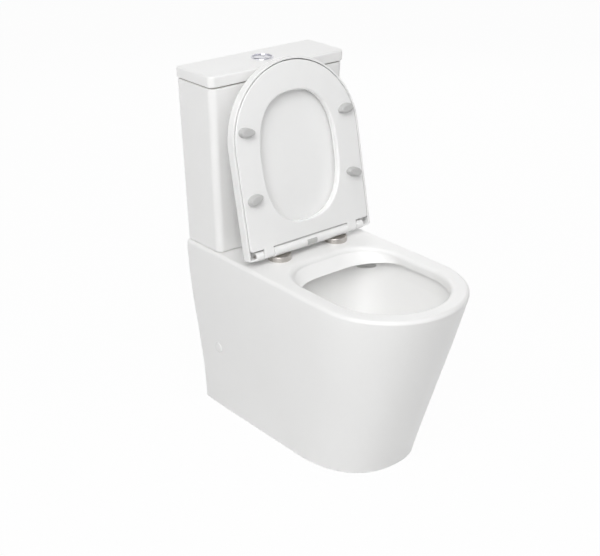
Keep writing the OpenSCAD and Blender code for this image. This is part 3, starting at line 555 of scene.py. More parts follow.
tank_floor = TANK_LOW.z + TANK_FLOOR
rings = [tank_ring(TANK_LOW.z + down, inset) for inset, down in reversed(rounding(TANK_FOOT_EDGE, 4))]
rings += [tank_ring(TANK_HIGH.z - down, inset) for inset, down in rounding(TANK_LIP_OUT, 5)]
rings += [tank_ring(TANK_HIGH.z - down, TANK_WALL - inset)
          for inset, down in reversed(rounding(TANK_LIP_IN, 4))]
rings += [tank_ring(tank_floor + down, TANK_WALL + inset) for inset, down in rounding(TANK_FILLET, 6)]
tank = grow("tank_body", rings)
for x, y, radius in TANK_HOLES:
    cut(tank, rod(radius, (x, y, tank_floor - 20), (x, y, tank_floor + 5)))
dress(tank, "tank")

# %% [markdown]
# ## The tank lid
#
# The lid is a heavy tray upside down. A narrow foot under its wall leaves a dark
# joint line over the tank, and a rib inside keeps it from sliding. Foot, wall and rib
# are one skin here, which turns in and out again before its ends are closed.

# %% Tank lid
LID_LOW, LID_HIGH = (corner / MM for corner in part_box("tank_lid"))
LID_TOP_THICK = 12.0
LID_EDGE_Z = LID_HIGH.z - LID_EDGE
LID_UNDER_Z = LID_HIGH.z - LID_TOP_THICK
LID_HALF = LID_HIGH.x
LID_DEEP = WALL - LID_LOW.y
LID_CORNER, LID_REAR_CORNER = 14.0, 4.0
LID_TOP_EDGE, LID_LOW_EDGE = 4.5, 3.0
LID_FOOT_OUT, LID_WALL = 5.5, 11.0
LID_FOOT_Z = TANK_HIGH.z + 0.3
RIB_HALF, RIB_REAR, RIB_FRONT, RIB_THICK, RIB_DROP = 173.0, 12.5, 112.0, 5.0, 7.0
BUTTON_Y = WALL - LID_DEEP / 2
BUTTON_HOLE = 24.0


def lid_ring(inset, height):
    corners = LID_CORNER - inset / 2, LID_REAR_CORNER - inset / 3
    return level(round_box(LID_HALF - inset, inset, LID_DEEP - inset, *corners), height)


def rib_ring(inset, height):
    return level(round_box(RIB_HALF - inset, RIB_REAR + inset, RIB_FRONT - inset, 9 - inset / 2), height)


rings = [lid_ring(inset, LID_HIGH.z - down) for inset, down in reversed(rounding(LID_TOP_EDGE, 7))]
rings += [lid_ring(inset, LID_EDGE_Z + down) for inset, down in rounding(LID_LOW_EDGE, 4)]
rings += [lid_ring(LID_FOOT_OUT, height) for height in (LID_EDGE_Z, LID_FOOT_Z)]
rings += [lid_ring(LID_WALL, height) for height in (LID_FOOT_Z, LID_UNDER_Z)]
rings += [rib_ring(0, height) for height in (LID_UNDER_Z, LID_EDGE_Z - RIB_DROP)]
rings += [rib_ring(RIB_THICK, height) for height in (LID_EDGE_Z - RIB_DROP, LID_UNDER_Z)]
tank_lid = grow("tank_lid_slab", rings)
cut(tank_lid, rod(BUTTON_HOLE, (0, BUTTON_Y, LID_EDGE_Z - 9), (0, BUTTON_Y, LID_HIGH.z + 9), 96))
dress(tank_lid, "tank_lid")

# %% [markdown]
# ## The flush buttons
#
# A chrome bezel sits in the lid and holds two buttons: the larger one for a full
# flush and the smaller one for half. The bezel is a cylinder whose top is inset and
# pushed down to make the well. The buttons start as one low dome, and `bisect` cuts
# that dome along the line between them, so both halves match.

# %% Bezel
BEZEL_TOP = LID_HIGH.z + 3.0
BEZEL_RADIUS, BEZEL_EDGE, BEZEL_STEP = 25.5, 2.6, 0.2
BEZEL_DEEP = 26.0
BUTTON_RADIUS, BUTTON_GAP = 21.0, 0.3
ROD_X, ROD_Y, ROD_BORE = 11.0, BUTTON_Y - 9.0, 3.5
bezel = rod(BEZEL_RADIUS, (0, BUTTON_Y, LID_HIGH.z), (0, BUTTON_Y, BEZEL_TOP), 96)
bezel.name = bezel.data.name = "chrome_bezel"
soften_edges(bezel, lambda p: p.z > BEZEL_TOP - 0.1, BEZEL_EDGE, 5)
bpy.ops.object.mode_set(mode="EDIT")
pick(bezel, "FACE", lambda p: p.z > BEZEL_TOP - 0.1)
bpy.ops.mesh.inset(thickness=(BEZEL_RADIUS - BEZEL_EDGE - BUTTON_RADIUS - BUTTON_GAP - BEZEL_STEP) * MM)
bpy.ops.mesh.inset(thickness=BEZEL_STEP * MM, depth=-BEZEL_STEP * MM)
bpy.ops.mesh.extrude_region_move(TRANSFORM_OT_translate={"value": (0, 0, (0.5 - BEZEL_DEEP) * MM)})
pick(bezel, "FACE", lambda p: p.z < LID_HIGH.z + 0.1 and p.z > LID_HIGH.z - 0.1)
bpy.ops.mesh.inset(thickness=2.0 * MM)
bpy.ops.mesh.extrude_region_move(TRANSFORM_OT_translate={"value": (0, 0, -BEZEL_DEEP * MM)})
bpy.ops.object.mode_set(mode="OBJECT")
for side in (-1, 1):
    x = side * ROD_X
    cut(bezel, rod(ROD_BORE, (x, ROD_Y, LID_HIGH.z - 30), (x, ROD_Y, LID_HIGH.z - 20)))
dress(bezel, "button_bezel")

# %% Buttons
BUTTON_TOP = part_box("full_flush_button")[1].z / MM
BUTTON_THICK, BUTTON_CROWN, BUTTON_EDGE = 5.0, 1.0, 0.9
BUTTON_SPLIT, SPLIT_GAP, ROD_RADIUS = 2.5, 0.8, 3.0
ROD_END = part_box("full_flush_button")[0].z / MM


def button_ring(radius, height):
    return level(arc(0, BUTTON_Y, radius, 0, 360 - 3.75, 95), height)


def flush_button(name, node, side):
    """Half of a domed disc, on its push rod. The full flush is on side -1."""
    low, edge = BUTTON_TOP - BUTTON_THICK, BUTTON_TOP - BUTTON_CROWN
    shares = [1 - i / 8 for i in range(1, 8)] + [0.04]
    rings = [button_ring(BUTTON_RADIUS, low)]
    rings += [button_ring(BUTTON_RADIUS - inset, edge - down) for inset, down in rounding(BUTTON_EDGE, 4)]
    crown = BUTTON_RADIUS - BUTTON_EDGE
    rings += [button_ring(crown * share, edge + BUTTON_CROWN * (1 - share * share)) for share in shares]
    button = grow(name, rings)
    split = BUTTON_SPLIT + side * SPLIT_GAP / 2
    activate(button)
    bpy.ops.object.mode_set(mode="EDIT")
    bpy.ops.mesh.select_all(action="SELECT")
    bpy.ops.mesh.bisect(plane_co=(split * MM, 0, 0), plane_no=(side, 0, 0), use_fill=True,
                        clear_inner=True)
    bpy.ops.object.mode_set(mode="OBJECT")
    soften_edges(button, lambda p: abs(p.x - split) < 0.01 and p.z > low + 0.5, 0.5, 3)
    x = side * ROD_X
    weld(button, rod(ROD_RADIUS, (x, ROD_Y, ROD_END), (x, ROD_Y, low + 1), 32))
    dress(button, node)


flush_button("full_flush_half", "full_flush_button", -1)
flush_button("half_flush_half", "half_flush_button", 1)

# %% [markdown]
# ## The raised seat
#
# Seat and lid stand raised against the tank. They are easier to draw closed, lying
# flat about the hinge axis, so their rings are drawn that way and `raised` swings
# every point up by the angle of the hinge. The seat is a loop: its rings run up the
# outer edge, over the top, down the oval opening and back along the underside.


# %% Outlines of the seat
HY, HZ = HINGE.y / MM, HINGE.z / MM


def raised(point):
    """Swings a point of the closed seat up about the hinge axis."""
    x, y, z = point
    cos, sin = math.cos(OPEN), math.sin(OPEN)
    return Vector((x, HY + y * cos + z * sin, HZ - y * sin + z * cos))


SEAT_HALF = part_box("seat")[1].x / MM
NOSE_Y = SEAT_HALF - 400.5
SEAT_BACK, SEAT_CORNER = -13.5, 7.0
SEAT_LOW, SEAT_TOP = -9.5, 8.5
HOLE_HALF, HOLE_LONG, HOLE_Y, HOLE_BEND = 105.5, 142.5, -192.5, 2.5


def seat_plan(half_width, back, corner, inset=0.0):
    """Straight back and sides with a half-round front, drawn closed."""
    corner = max(corner - inset, 0.3)
    side, rear = half_width - inset, back - inset
    long_side = [(side, mix(rear - corner, NOSE_Y, i / 12)) for i in range(1, 12)]
    straight_back = [(mix(-side + corner, side - corner, i / 16), rear) for i in range(1, 16)]
    return (straight_back + arc(side - corner, rear - corner, corner, 90, 0, 5) + long_side
            + arc(0, NOSE_Y, side, 0, -180, 72) + [(-x, y) for x, y in reversed(long_side)]
            + arc(corner - side, rear - corner, corner, 180, 90, 5))


def opening_ring(grown, height, like):
    """The oval opening, with each point in line with a point of the outline."""
    ring = []
    for x, y in like:
        turn = math.atan2(y - HOLE_Y, x)
        reach = ((abs(math.cos(turn)) / (HOLE_HALF + grown)) ** HOLE_BEND
                 + (abs(math.sin(turn)) / (HOLE_LONG + grown)) ** HOLE_BEND) ** (-1 / HOLE_BEND)
        ring.append(raised((reach * math.cos(turn), HOLE_Y + reach * math.sin(turn), height)))
    return ring


def seat_ring(inset, height):
    return [raised((x, y, height)) for x, y in seat_plan(SEAT_HALF, SEAT_BACK, SEAT_CORNER, inset)]


def knuckle(name, start, end, profile):
    """An eye with its web: a profile across the hinge axis, swept along it."""
    steps = ((start, 0.94), (start + 0.7, 1.0), (end - 0.7, 1.0), (end, 0.94))
    return grow(name, [[raised((x, y * share, z * share)) for y, z in profile] for x, share in steps])


def on_hinge(radius, start, end, sides=48):
    """A bar along the hinge axis."""
    return rod(radius, (start, HY, HZ), (end, HY, HZ), sides)


# %% Seat
SEAT_EDGE_LOW, SEAT_EDGE_TOP, HOLE_EDGE_TOP, HOLE_EDGE_LOW = 2.0, 7.0, 6.0, 4.5
SEAT_EYE, LID_EYE, EYE_RADIUS, EYE_BORE = (107.5, 133.5), (135.0, 155.0), 10.0, 7.05
like = seat_plan(SEAT_HALF, SEAT_BACK, SEAT_CORNER)
rings = [seat_ring(inset, SEAT_LOW + down) for inset, down in reversed(rounding(SEAT_EDGE_LOW, 4))]
rings += [seat_ring(inset, SEAT_TOP - down) for inset, down in rounding(SEAT_EDGE_TOP, 7)]
rings += [opening_ring(inset, SEAT_TOP - down, like) for inset, down in reversed(rounding(HOLE_EDGE_TOP, 6))]
rings += [opening_ring(inset, SEAT_LOW + down, like) for inset, down in rounding(HOLE_EDGE_LOW, 6)]
seat = grow("seat_ring_moulding", rings, loop=True)
seat_eye_profile = arc(0, 0, EYE_RADIUS, -108, 122, 30) + [(-22, SEAT_TOP), (-22, SEAT_LOW)]
for side in (-1, 1):
    ends = sorted(side * x for x in SEAT_EYE)
    weld(seat, knuckle("seat_eye", *ends, seat_eye_profile))
    cut(seat, on_hinge(EYE_BORE, ends[0] - 1, ends[1] + 1))
dress(seat, "seat")

# %% [markdown]
# ## The seat lid
#
# The lid is a tray that wraps round the edge of the seat when it is down. Its skin
# starts in the middle of the outer face, turns over the edge, and ends inside on the
# face that the seat hides. The back wall is cut away for the hinge.

# %% Seat lid
COVER_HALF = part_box("seat_lid")[1].x / MM
COVER_BACK, COVER_WALL, COVER_CORNER = 6.5, 4.5, 6.0
COVER_LOW, COVER_UNDER, COVER_TOP = -8.5, 12.2, 17.2
COVER_EDGE, COVER_RIM, COVER_FILLET = 8.0, 1.3, 3.0
SLOT_HALF = 137.0


def cover_ring(inset, height):
    return [raised((x, y, height)) for x, y in seat_plan(COVER_HALF, COVER_BACK, COVER_CORNER, inset)]


rings = [cover_ring(inset, COVER_TOP - down) for inset, down in reversed(rounding(COVER_EDGE, 8))]
rings += [cover_ring(inset, COVER_LOW + down) for inset, down in rounding(COVER_RIM, 3)]
rings += [cover_ring(COVER_WALL - inset, COVER_LOW + down)
          for inset, down in reversed(rounding(COVER_RIM, 3))]
rings += [cover_ring(COVER_WALL + inset, COVER_UNDER - down) for inset, down in rounding(COVER_FILLET, 4)]
seat_lid = grow("seat_lid_moulding", rings)
slot_plan = [(-SLOT_HALF, -20), (SLOT_HALF, -20), (SLOT_HALF, 20), (-SLOT_HALF, 20)]
slot = grow("slot", [[raised((x, y, z)) for x, y in slot_plan] for z in (-12, COVER_UNDER)])
cut(seat_lid, slot)
lid_eye_profile = arc(0, 0, EYE_RADIUS, 180, 409, 30) + [(6.2, 13.5), (-10, 13.5)]
for side in (-1, 1):
    ends = sorted(side * x for x in LID_EYE)
    weld(seat_lid, knuckle("lid_eye", *ends, lid_eye_profile))
    cut(seat_lid, on_hinge(EYE_BORE, ends[0] - 1, ends[1] + 1))
dress(seat_lid, "seat_lid")

# %% [markdown]
# ## Buffers
#
# Four soft pads under the seat keep it off the rim. Each is egg shaped, with its
# blunt end outwards and a rounded top. One is grown upright in the middle. The copies
# are turned over, set on the underside of the closed seat and swung up with it, by
# matrices that are multiplied from right to left.

# %% Buffers
PAD_HALF, PAD_WIDE, PAD_SKEW = 19.0, 11.5 * 0.95, 0.16
PAD_NECK, PAD_EDGE = 1.2, 4.5
PAD_HEIGHT = HZ - DECK / MM + SEAT_LOW - 0.3
# across from the middle, out from the hinge, turned by degrees
PAD_PLACES = ((139.0, 270.6, 8.0), (141.0, 125.6, -16.0))


def pad_ring(inset, height):
    ring = []
    for x, y in arc(0, 0, 1, 0, 352.5, 47):
        wide = (PAD_WIDE - inset * 0.95) * y / (1 - PAD_SKEW * x)
        ring.append(Vector(((PAD_HALF - inset) * x, wide, height)))
    return ring


rings = [pad_ring(0, 0)]
rings += [pad_ring(PAD_NECK + inset, PAD_HEIGHT - down) for inset, down in rounding(PAD_EDGE, 6)]
pad = grow("buffer", rings)
swung = Matrix.Translation(HINGE) @ Matrix.Rotation(-OPEN, 4, "X")
pads = []
for side in (1, -1):
    for across, out, turn in PAD_PLACES:
        turned = -math.radians(turn) if side == 1 else math.pi + math.radians(turn)
        under_seat = Matrix.Translation(Vector((side * across, -out, SEAT_LOW)) * MM)
        over = Matrix.Rotation(turned, 4, "Z") @ Matrix.Rotation(math.pi, 4, "X")
        pads.append(copy_of(pad, swung @ under_seat @ over))
activate(pad)
bpy.ops.object.delete()
dress(join(pads, "seat_buffer_pads"), "seat_buffers", 50)

# %% [markdown]
# ## The hinge
#
# A round bar carries both hinges and stands on two turned steel bases. The bar and
# the bases are plain cylinders at their size and place. Their rims are bevelled, and
# the pocket of the release button and the bores for the pins are cut out of the bar.

# %% Hinge bar
BAR_HALF, BAR_RADIUS, BAR_EDGE, PIN_BORE = 106.5, 11.5, 1.2, 4.05
POCKET_HALF, POCKET_HIGH, POCKET_BACK = 14.3, 6.8, HY + 1.3
BASE_HEIGHT = 12.0
BASE_TOP = DECK / MM + BASE_HEIGHT
FOOT_RADIUS, STUD_RADIUS, STUD_HEIGHT = 4.8, 3.5, 1.6
bar = on_hinge(BAR_RADIUS, -BAR_HALF, BAR_HALF, 96)
bar.name = bar.data.name = "hinge_bar_moulding"
soften_edges(bar, lambda p: abs(p.x) > BAR_HALF - 0.01, BAR_EDGE, 4)
for side in (-1, 1):
    x = side * BASE_X
    weld(bar, rod(FOOT_RADIUS, (x, BASE_Y, BASE_TOP), (x, BASE_Y, BASE_TOP + 4.5)))
    socket = rod(STUD_RADIUS + 0.05, (x, BASE_Y, BASE_TOP - 1), (x, BASE_Y, BASE_TOP + STUD_HEIGHT + 0.3))
    cut(bar, socket)
    cut(bar, on_hinge(PIN_BORE, side * 60, side * 110))
cut(bar, block((-POCKET_HALF, HY - 20, HZ - POCKET_HIGH), (POCKET_HALF, POCKET_BACK, HZ + POCKET_HIGH)))
dress(bar, "hinge_bar")

# %% Release button
PLATE_HALF, PLATE_HIGH, PLATE_CORNER, PLATE_REACH = 14.0, 6.5, 3.0, 12.1
PLATE_SUNK, PLATE_EDGE = 1.5, 0.8


def plate_outline(inset):
    corner = max(PLATE_CORNER - inset / 2, 0.3)
    wide, tall = PLATE_HALF - inset - corner, PLATE_HIGH - inset - corner
    return (arc(wide, tall, corner, 0, 90, 5) + arc(-wide, tall, corner, 90, 180, 5)
            + arc(-wide, -tall, corner, 180, 270, 5) + arc(wide, -tall, corner, 270, 360, 5))


def plate_ring(inset, sunk):
    """A ring that follows the round face of the bar."""
    return [Vector((x, HY - math.sqrt((PLATE_REACH - sunk) ** 2 - z ** 2), HZ + z))
            for x, z in plate_outline(inset)]


rings = [[Vector((x, HY - PLATE_SUNK, HZ + z)) for x, z in plate_outline(0)]]
rings += [plate_ring(inset, down) for inset, down in rounding(PLATE_EDGE, 4)]
rings += [plate_ring(inset, 0) for inset in (2.0, 3.2, 4.4, 5.4, 6.1)]
dress(grow("hinge_release_plate", rings), "hinge_release_button")

# %% Hinge bases
BASE_EDGE, BASE_BORE = 2.0, 3.05
base = rod(BASE_RADIUS, (-BASE_X, BASE_Y, DECK / MM), (-BASE_X, BASE_Y, BASE_TOP), 128)
soften_edges(base, lambda p: p.z > BASE_TOP - 0.01, BASE_EDGE, 5)
bpy.ops.object.mode_set(mode="EDIT")
pick(base, "FACE", lambda p: p.z > BASE_TOP - 0.01)
bpy.ops.mesh.inset(thickness=(BASE_RADIUS - BASE_EDGE - STUD_RADIUS) * MM)
bpy.ops.mesh.extrude_region_move(TRANSFORM_OT_translate={"value": (0, 0, STUD_HEIGHT * MM)})
bpy.ops.object.mode_set(mode="OBJECT")
cut(base, rod(BASE_BORE, (-BASE_X, BASE_Y, DECK / MM - 1), (-BASE_X, BASE_Y, BASE_TOP - 1)))
other_base = copy_of(base, Matrix.Translation((2 * BASE_X * MM, 0, 0)))
dress(join([base, other_base], "turned_hinge_bases"), "hinge_bases")

# %% [markdown]
# ## The pan
#
# The pan is one hollow casting: a skirt that widens from the floor to the rim, a flat
# deck for the tank, and a bowl with its trap inside. It could be sculpted, but its
# faces are plain lofts, so each is grown as a closed skin: the outside, the hollow
# under it, the bowl and the trap with their walls, and last the space for the water.
# Booleans then join and cut these skins, as a mould maker would with plaster.


# %% Outside of the pan
def ease(share):
    return share * share * (3 - 2 * share)


PAN_LOW, PAN_HIGH = (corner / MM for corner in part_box("pan"))
PAN_TOP, PAN_HALF, PAN_LENGTH = PAN_HIGH.z, PAN_HIGH.x, WALL - PAN_LOW.y
FOOT_HALF, NOSE_DRAW, FOOT_NOSE = 137.0, 133.0, 173.0
RIM_EDGE, SKIRT, DECK_THICK = 9.0, 12.0, 14.0
RIM_EDGE_Z, HOLLOW_TOP = PAN_TOP - RIM_EDGE, PAN_TOP - 62.0
REAR_STRAIGHT, REAR_TUCK, FOOT_BEND = 60.0, 2.5, 2.35


def pan_side(height):
    """Half the width of the pan at a height."""
    up = min(max(height / RIM_EDGE_Z, 0), 1)
    return mix(FOOT_HALF, PAN_HALF, 0.85 * ease(up) + 0.15 * up)


def pan_ring(height, inset=0.0, back=0.0):
    """Straight sides and a round nose. At the floor the nose is a little squarer."""
    up = min(height / RIM_EDGE_Z, 1)
    side = pan_side(height) - inset
    nose = mix(FOOT_NOSE, PAN_HALF, up) - inset
    start = PAN_LENGTH - NOSE_DRAW * (1 - up) - inset - nose
    bend, tuck = 2 / mix(FOOT_BEND, 2, up), REAR_TUCK * (1.03 - up)
    half = [(side - tuck, WALL - back), (side, WALL - REAR_STRAIGHT)]
    half += [(side, WALL - mix(REAR_STRAIGHT, start, i / 5)) for i in range(1, 5)]
    for i in range(36):
        turn = math.radians(2.5 * i)
        half.append((side * math.cos(turn) ** bend, WALL - start - nose * math.sin(turn) ** bend))
    tip = [(0, WALL - start - nose)]
    return level([(-x, y) for x, y in half] + tip + half[::-1], height)


rings = [pan_ring(RIM_EDGE_Z * i / 24) for i in range(24)]
rings += [[point + Vector((0, 0, RIM_EDGE - down)) for point in pan_ring(RIM_EDGE_Z, inset)]
          for inset, down in rounding(RIM_EDGE, 8)]
pan = grow("pan_casting", rings)
print("pan outside:", len(rings), "rings of", len(rings[0]), "points")

# %% [markdown]
# The opening has a half oval at the nose and round corners at the back. Under its lip
# runs the channel that spreads the flush, and both hang deeper towards the back. Each
# level of the bowl is six numbers, and a smooth curve through the levels gives the
# rings between them, so the glaze shows no steps.

# %% Outlines of the bowl
MOUTH_HALF, MOUTH_BACK, MOUTH_FRONT, MOUTH_CORNER = 135.0, 273.0, PAN_LENGTH - 40.0, 95.0
CHANNEL, LIP_DROP, LIP_LEAN, BOWL_WALL = 13.0, 12.0, 26.0, 9.0
LIP_Z, SUMP_Z = PAN_TOP - 24.0, 72.0
HANG_FADE = 130.0
# half width, back, front, length of the nose, width and length of a back corner
MOUTH = (MOUTH_HALF, MOUTH_BACK, MOUTH_FRONT, MOUTH_HALF, MOUTH_CORNER, MOUTH_CORNER)
LIP_FOOT = (MOUTH_HALF, MOUTH_BACK + LIP_LEAN, MOUTH_FRONT, MOUTH_HALF, MOUTH_CORNER, MOUTH_CORNER - 10)
CHANNEL_HALF = MOUTH_HALF + CHANNEL
CHANNEL_PLAN = (CHANNEL_HALF, MOUTH_BACK - CHANNEL, MOUTH_FRONT + CHANNEL - 2,
                CHANNEL_HALF - 4, MOUTH_CORNER, MOUTH_CORNER)
# depth below the deck, then the same six numbers
BOWL_LEVELS = (
    (60, MOUTH_HALF + 9, MOUTH_BACK - CHANNEL + 4, MOUTH_FRONT + 4, MOUTH_HALF + 5, 95, 95),
    (90, MOUTH_HALF + 1, MOUTH_BACK - 5, MOUTH_FRONT - 8, MOUTH_HALF + 1, 95, 95),
    (135, 120, MOUTH_BACK + 5, MOUTH_FRONT - 35, 126, 92, 92),
    (180, 96, MOUTH_BACK + 18, 527, 106, 78, 78),
    (226, 74, MOUTH_BACK + 30, 487, 82, 62, 62),
    (272, 60, MOUTH_BACK + 38, 455, 64, 50, 50),
    (314, 50, MOUTH_BACK + 44, 426, 50, 42, 42),
    (342, 38, MOUTH_BACK + 48, 402, 38, 34, 34),
    (352, 24, MOUTH_BACK + 52, 384, 26, 21, 22))


def through(points, place):
    """The values at a place along a smooth curve through the points."""
    index = min(int(place), len(points) - 2)
    t = place - index
    a, b = points[max(index - 1, 0)], points[index]
    c, d = points[index + 1], points[min(index + 2, len(points) - 1)]
    return [0.5 * (2 * q + t * (r - p) + t * t * (2 * p - 5 * q + 4 * r - s)
                   + t ** 3 * (3 * q - p - 3 * r + s)) for p, q, r, s in zip(a, b, c, d)]


def bowl_ring(plan, height, grown=0.0, hang=0.0):
    half, back, front, nose, across, along = plan
    middle, turn_x, turn_y = front - nose, half - across, WALL - back - along
    half, nose = half + grown, nose + grown
    oval = [(-half * x, WALL - middle - nose * y) for x, y in arc(0, 0, 1, 0, 177, 59)]
    side = [(half, WALL - mix(middle, back + along, i / 10)) for i in range(10)]
    corner = [(turn_x + (across + grown) * x, turn_y + (along + grown) * y)
              for x, y in arc(0, 0, 1, 0, 85, 17)]
    rear = [(mix(turn_x, -turn_x, i / 8), WALL - back + grown) for i in range(9)]
    mirrored = [(-x, y) for x, y in (side[1:] + corner)[::-1]]
    ring = []
    for x, y in oval + side + corner + rear + mirrored:
        share = ease(min(max((WALL - y - MOUTH_BACK) / HANG_FADE, 0), 1))
        ring.append(Vector((x, y, height - hang * (1 - share))))
    return ring


def between(first, second, share):
    return tuple(mix(a, b, share) for a, b in zip(first, second))


print("opening", 2 * MOUTH_HALF, "by", MOUTH_FRONT - MOUTH_BACK, "mm, bowl", BOWL_LEVELS[-1][0], "mm deep")

# %% Water space of the bowl
MOUTH_EDGE, CHANNEL_EDGE, CHANNEL_FLOOR = 11.0, 3.5, 17.0
LIP_TIP = ((0.2, 0.9), (0.6, 0.4), (1.5, 0.0))
lip_face = PAN_TOP - MOUTH_EDGE
rings = [bowl_ring(MOUTH, PAN_TOP + 1, MOUTH_EDGE)]
rings += [bowl_ring(MOUTH, PAN_TOP - down, inset) for inset, down in reversed(rounding(MOUTH_EDGE, 8))]
for i in range(1, 6):
    plan, height = between(MOUTH, LIP_FOOT, i / 5), mix(lip_face, LIP_Z + 1.5, i / 5)
    rings.append(bowl_ring(plan, height, 0, LIP_DROP * i / 5))
rings += [bowl_ring(LIP_FOOT, LIP_Z + above, grown, LIP_DROP) for grown, above in LIP_TIP]
rings += [bowl_ring(CHANNEL_PLAN, LIP_Z + 0.5 - down, -inset, LIP_DROP)
          for inset, down in reversed(rounding(CHANNEL_EDGE, 4))]
rings.append(bowl_ring(CHANNEL_PLAN, LIP_Z - CHANNEL_FLOOR + 4, 0, LIP_DROP))
rings.append(bowl_ring(CHANNEL_PLAN, LIP_Z - CHANNEL_FLOOR, -1.5, LIP_DROP))
levels = [through(BOWL_LEVELS, i / 4) for i in range(4 * len(BOWL_LEVELS) - 3)]
rings += [bowl_ring(plan, PAN_TOP - down) for down, *plan in levels]
bowl_space = grow("bowl_space", rings)
print("bowl:", len(rings), "rings of", len(rings[0]), "points")

# %% [markdown]
# The trap is a pipe along a smooth line: it dips to hold the water seal, climbs over
# a weir, and falls to the outlet. Its rings stand square to that line, and the same
# line with a larger radius gives its outside.

# %% Trap
TRAP_LINE = ((362, 111), (322, 110), (290, 120), (262, 158), (236, 227), (198, 245), (164, 225),
             (134, 194), (100, 185), (60, 185), (13, 185))
OUTLET_Z, TRAP_RADIUS = 185.0, 37.6
SPIGOT_RADIUS, SPIGOT_OUT, SPIGOT_IN = 51.0, 15.0, 60.0


def trap_skin(name, radius, end):
    """The pipe of the trap, down to its end at a distance from the wall."""
    steps = 5 * (len(TRAP_LINE) - 1)
    line = [Vector(through(TRAP_LINE, i / 5)) for i in range(steps + 1)]
    line = [place for place in line if place.x > end + 2] + [Vector((end, OUTLET_Z))]
    rings = []
    for i, (out, height) in enumerate(line):
        way = (line[min(i + 1, len(line) - 1)] - line[max(i - 1, 0)]).normalized()
        rings.append([Vector((x, WALL - out - across * way.y, height - across * way.x))
                      for x, across in arc(0, 0, radius, 0, 352.5, 47)])
    return grow(name, rings)


weir_z = max(height for out, height in TRAP_LINE) - TRAP_RADIUS
dip_z = min(height for out, height in TRAP_LINE) + TRAP_RADIUS
print("water seal about", round(weir_z - dip_z), "mm")

# %% [markdown]
# The hollow under the skirt is one more skin. The outside of the bowl, the trap, the
# spigot and the duct are cut out of it first, so that their walls stay when the
# hollow itself is cut out of the pan.

# %% Hollow of the pan
DUCT_HALF, DUCT_HIGH, DUCT_WALL, DUCT_REAR = 38.0, 34.0, 10.0, 25.0
DUCT_TOP = PAN_TOP - DECK_THICK
BEHIND_BOWL = MOUTH_BACK - CHANNEL - BOWL_WALL - 8
BOWL_RIM = 22.0
heights = [-1] + [HOLLOW_TOP * i / 12 for i in range(1, 13)]
hollow = grow("hollow", [pan_ring(height, SKIRT, -1) for height in heights])
deck_half = pan_side(HOLLOW_TOP) - SKIRT - 1
deck_hollow = block((-deck_half, WALL - BEHIND_BOWL, HOLLOW_TOP - 5), (deck_half, WALL + 1, DUCT_TOP))
weld(hollow, deck_hollow)
sump_plan = BOWL_LEVELS[-1][1:]
rings = [bowl_ring(sump_plan, SUMP_Z - BOWL_WALL), bowl_ring(sump_plan, SUMP_Z, BOWL_WALL)]
rings += [bowl_ring(plan, PAN_TOP - down, BOWL_WALL) for down, *plan in levels[-3:3:-2]]
rings += [bowl_ring(CHANNEL_PLAN, height, BOWL_RIM) for height in (HOLLOW_TOP - 4, DUCT_TOP + 2)]
cut(hollow, grow("bowl_outside", rings))
cut(hollow, trap_skin("trap_outside", TRAP_RADIUS + BOWL_WALL, SPIGOT_IN - 5))
cut(hollow, rod(SPIGOT_RADIUS, (0, WALL - SPIGOT_OUT, OUTLET_Z), (0, WALL - SPIGOT_IN, OUTLET_Z), 96))
duct_half, duct_low = DUCT_HALF + DUCT_WALL, DUCT_TOP - DUCT_HIGH - DUCT_WALL
cut(hollow, block((-duct_half, WALL - BEHIND_BOWL - 4, duct_low), (duct_half, WALL - 15, DUCT_TOP + 1)))
cut(pan, hollow)
print("hollow cut:", len(pan.data.polygons), "faces")

# %% Bowl, trap and duct
cut(pan, bowl_space)
cut(pan, trap_skin("trap_space", TRAP_RADIUS, SPIGOT_OUT - 1))
cut(pan, block((-DUCT_HALF, WALL - MOUTH_BACK + CHANNEL - 8, DUCT_TOP - DUCT_HIGH),
               (DUCT_HALF, WALL - DUCT_REAR, DUCT_TOP)))
print("water spaces cut:", len(pan.data.polygons), "faces")

# %% [markdown]
# The flush leaves the channel on both sides, through an outlet in each back corner.
# Seen from the front, only its lower edge shows as a dark slit under the lip. A ball
# stretched along the corner cuts that shape in one step.

# %% Flush outlets
JET_PLACE, JET_SIZE, JET_TURN = (117.0, 39.5, 375.0), (26.0, 19.0, 9.0), 43.0
for side in (-1, 1):
    x, y, z = JET_PLACE
    bpy.ops.object.select_all(action="DESELECT")
    bpy.ops.mesh.primitive_uv_sphere_add(segments=48, ring_count=24, radius=MM,
                                         location=(side * x * MM, y * MM, z * MM), scale=JET_SIZE,
                                         rotation=(0, 0, -side * math.radians(JET_TURN)))
    cut(pan, settle(bpy.context.object))
print("flush outlets cut:", len(pan.data.polygons), "faces")

# %% [markdown]
# The deck has holes for the flush, the fill valve, the tank's bolts and the hinge
# bolts, and the skirt has one on each side for its fixing screw. A cap snaps into the
# shallow seat round that screw. It is a disc with a rounded edge, and the other side
# gets a copy of it, turned half round.

# %% Holes of the pan
FIX_OUT, FIX_Z, FIX_BORE = 78.0, 168.0, 3.5
CAP_RADIUS, CAP_THICK, CAP_SUNK, CAP_EDGE = 12.0, 5.5, 3.0, 2.0
GASKET_SEAT, FLUSH_HOLE, INLET_HOLE, BOLT_HOLE, HINGE_HOLE = 54.5, 34.0, 20.0, 6.0, 7.0
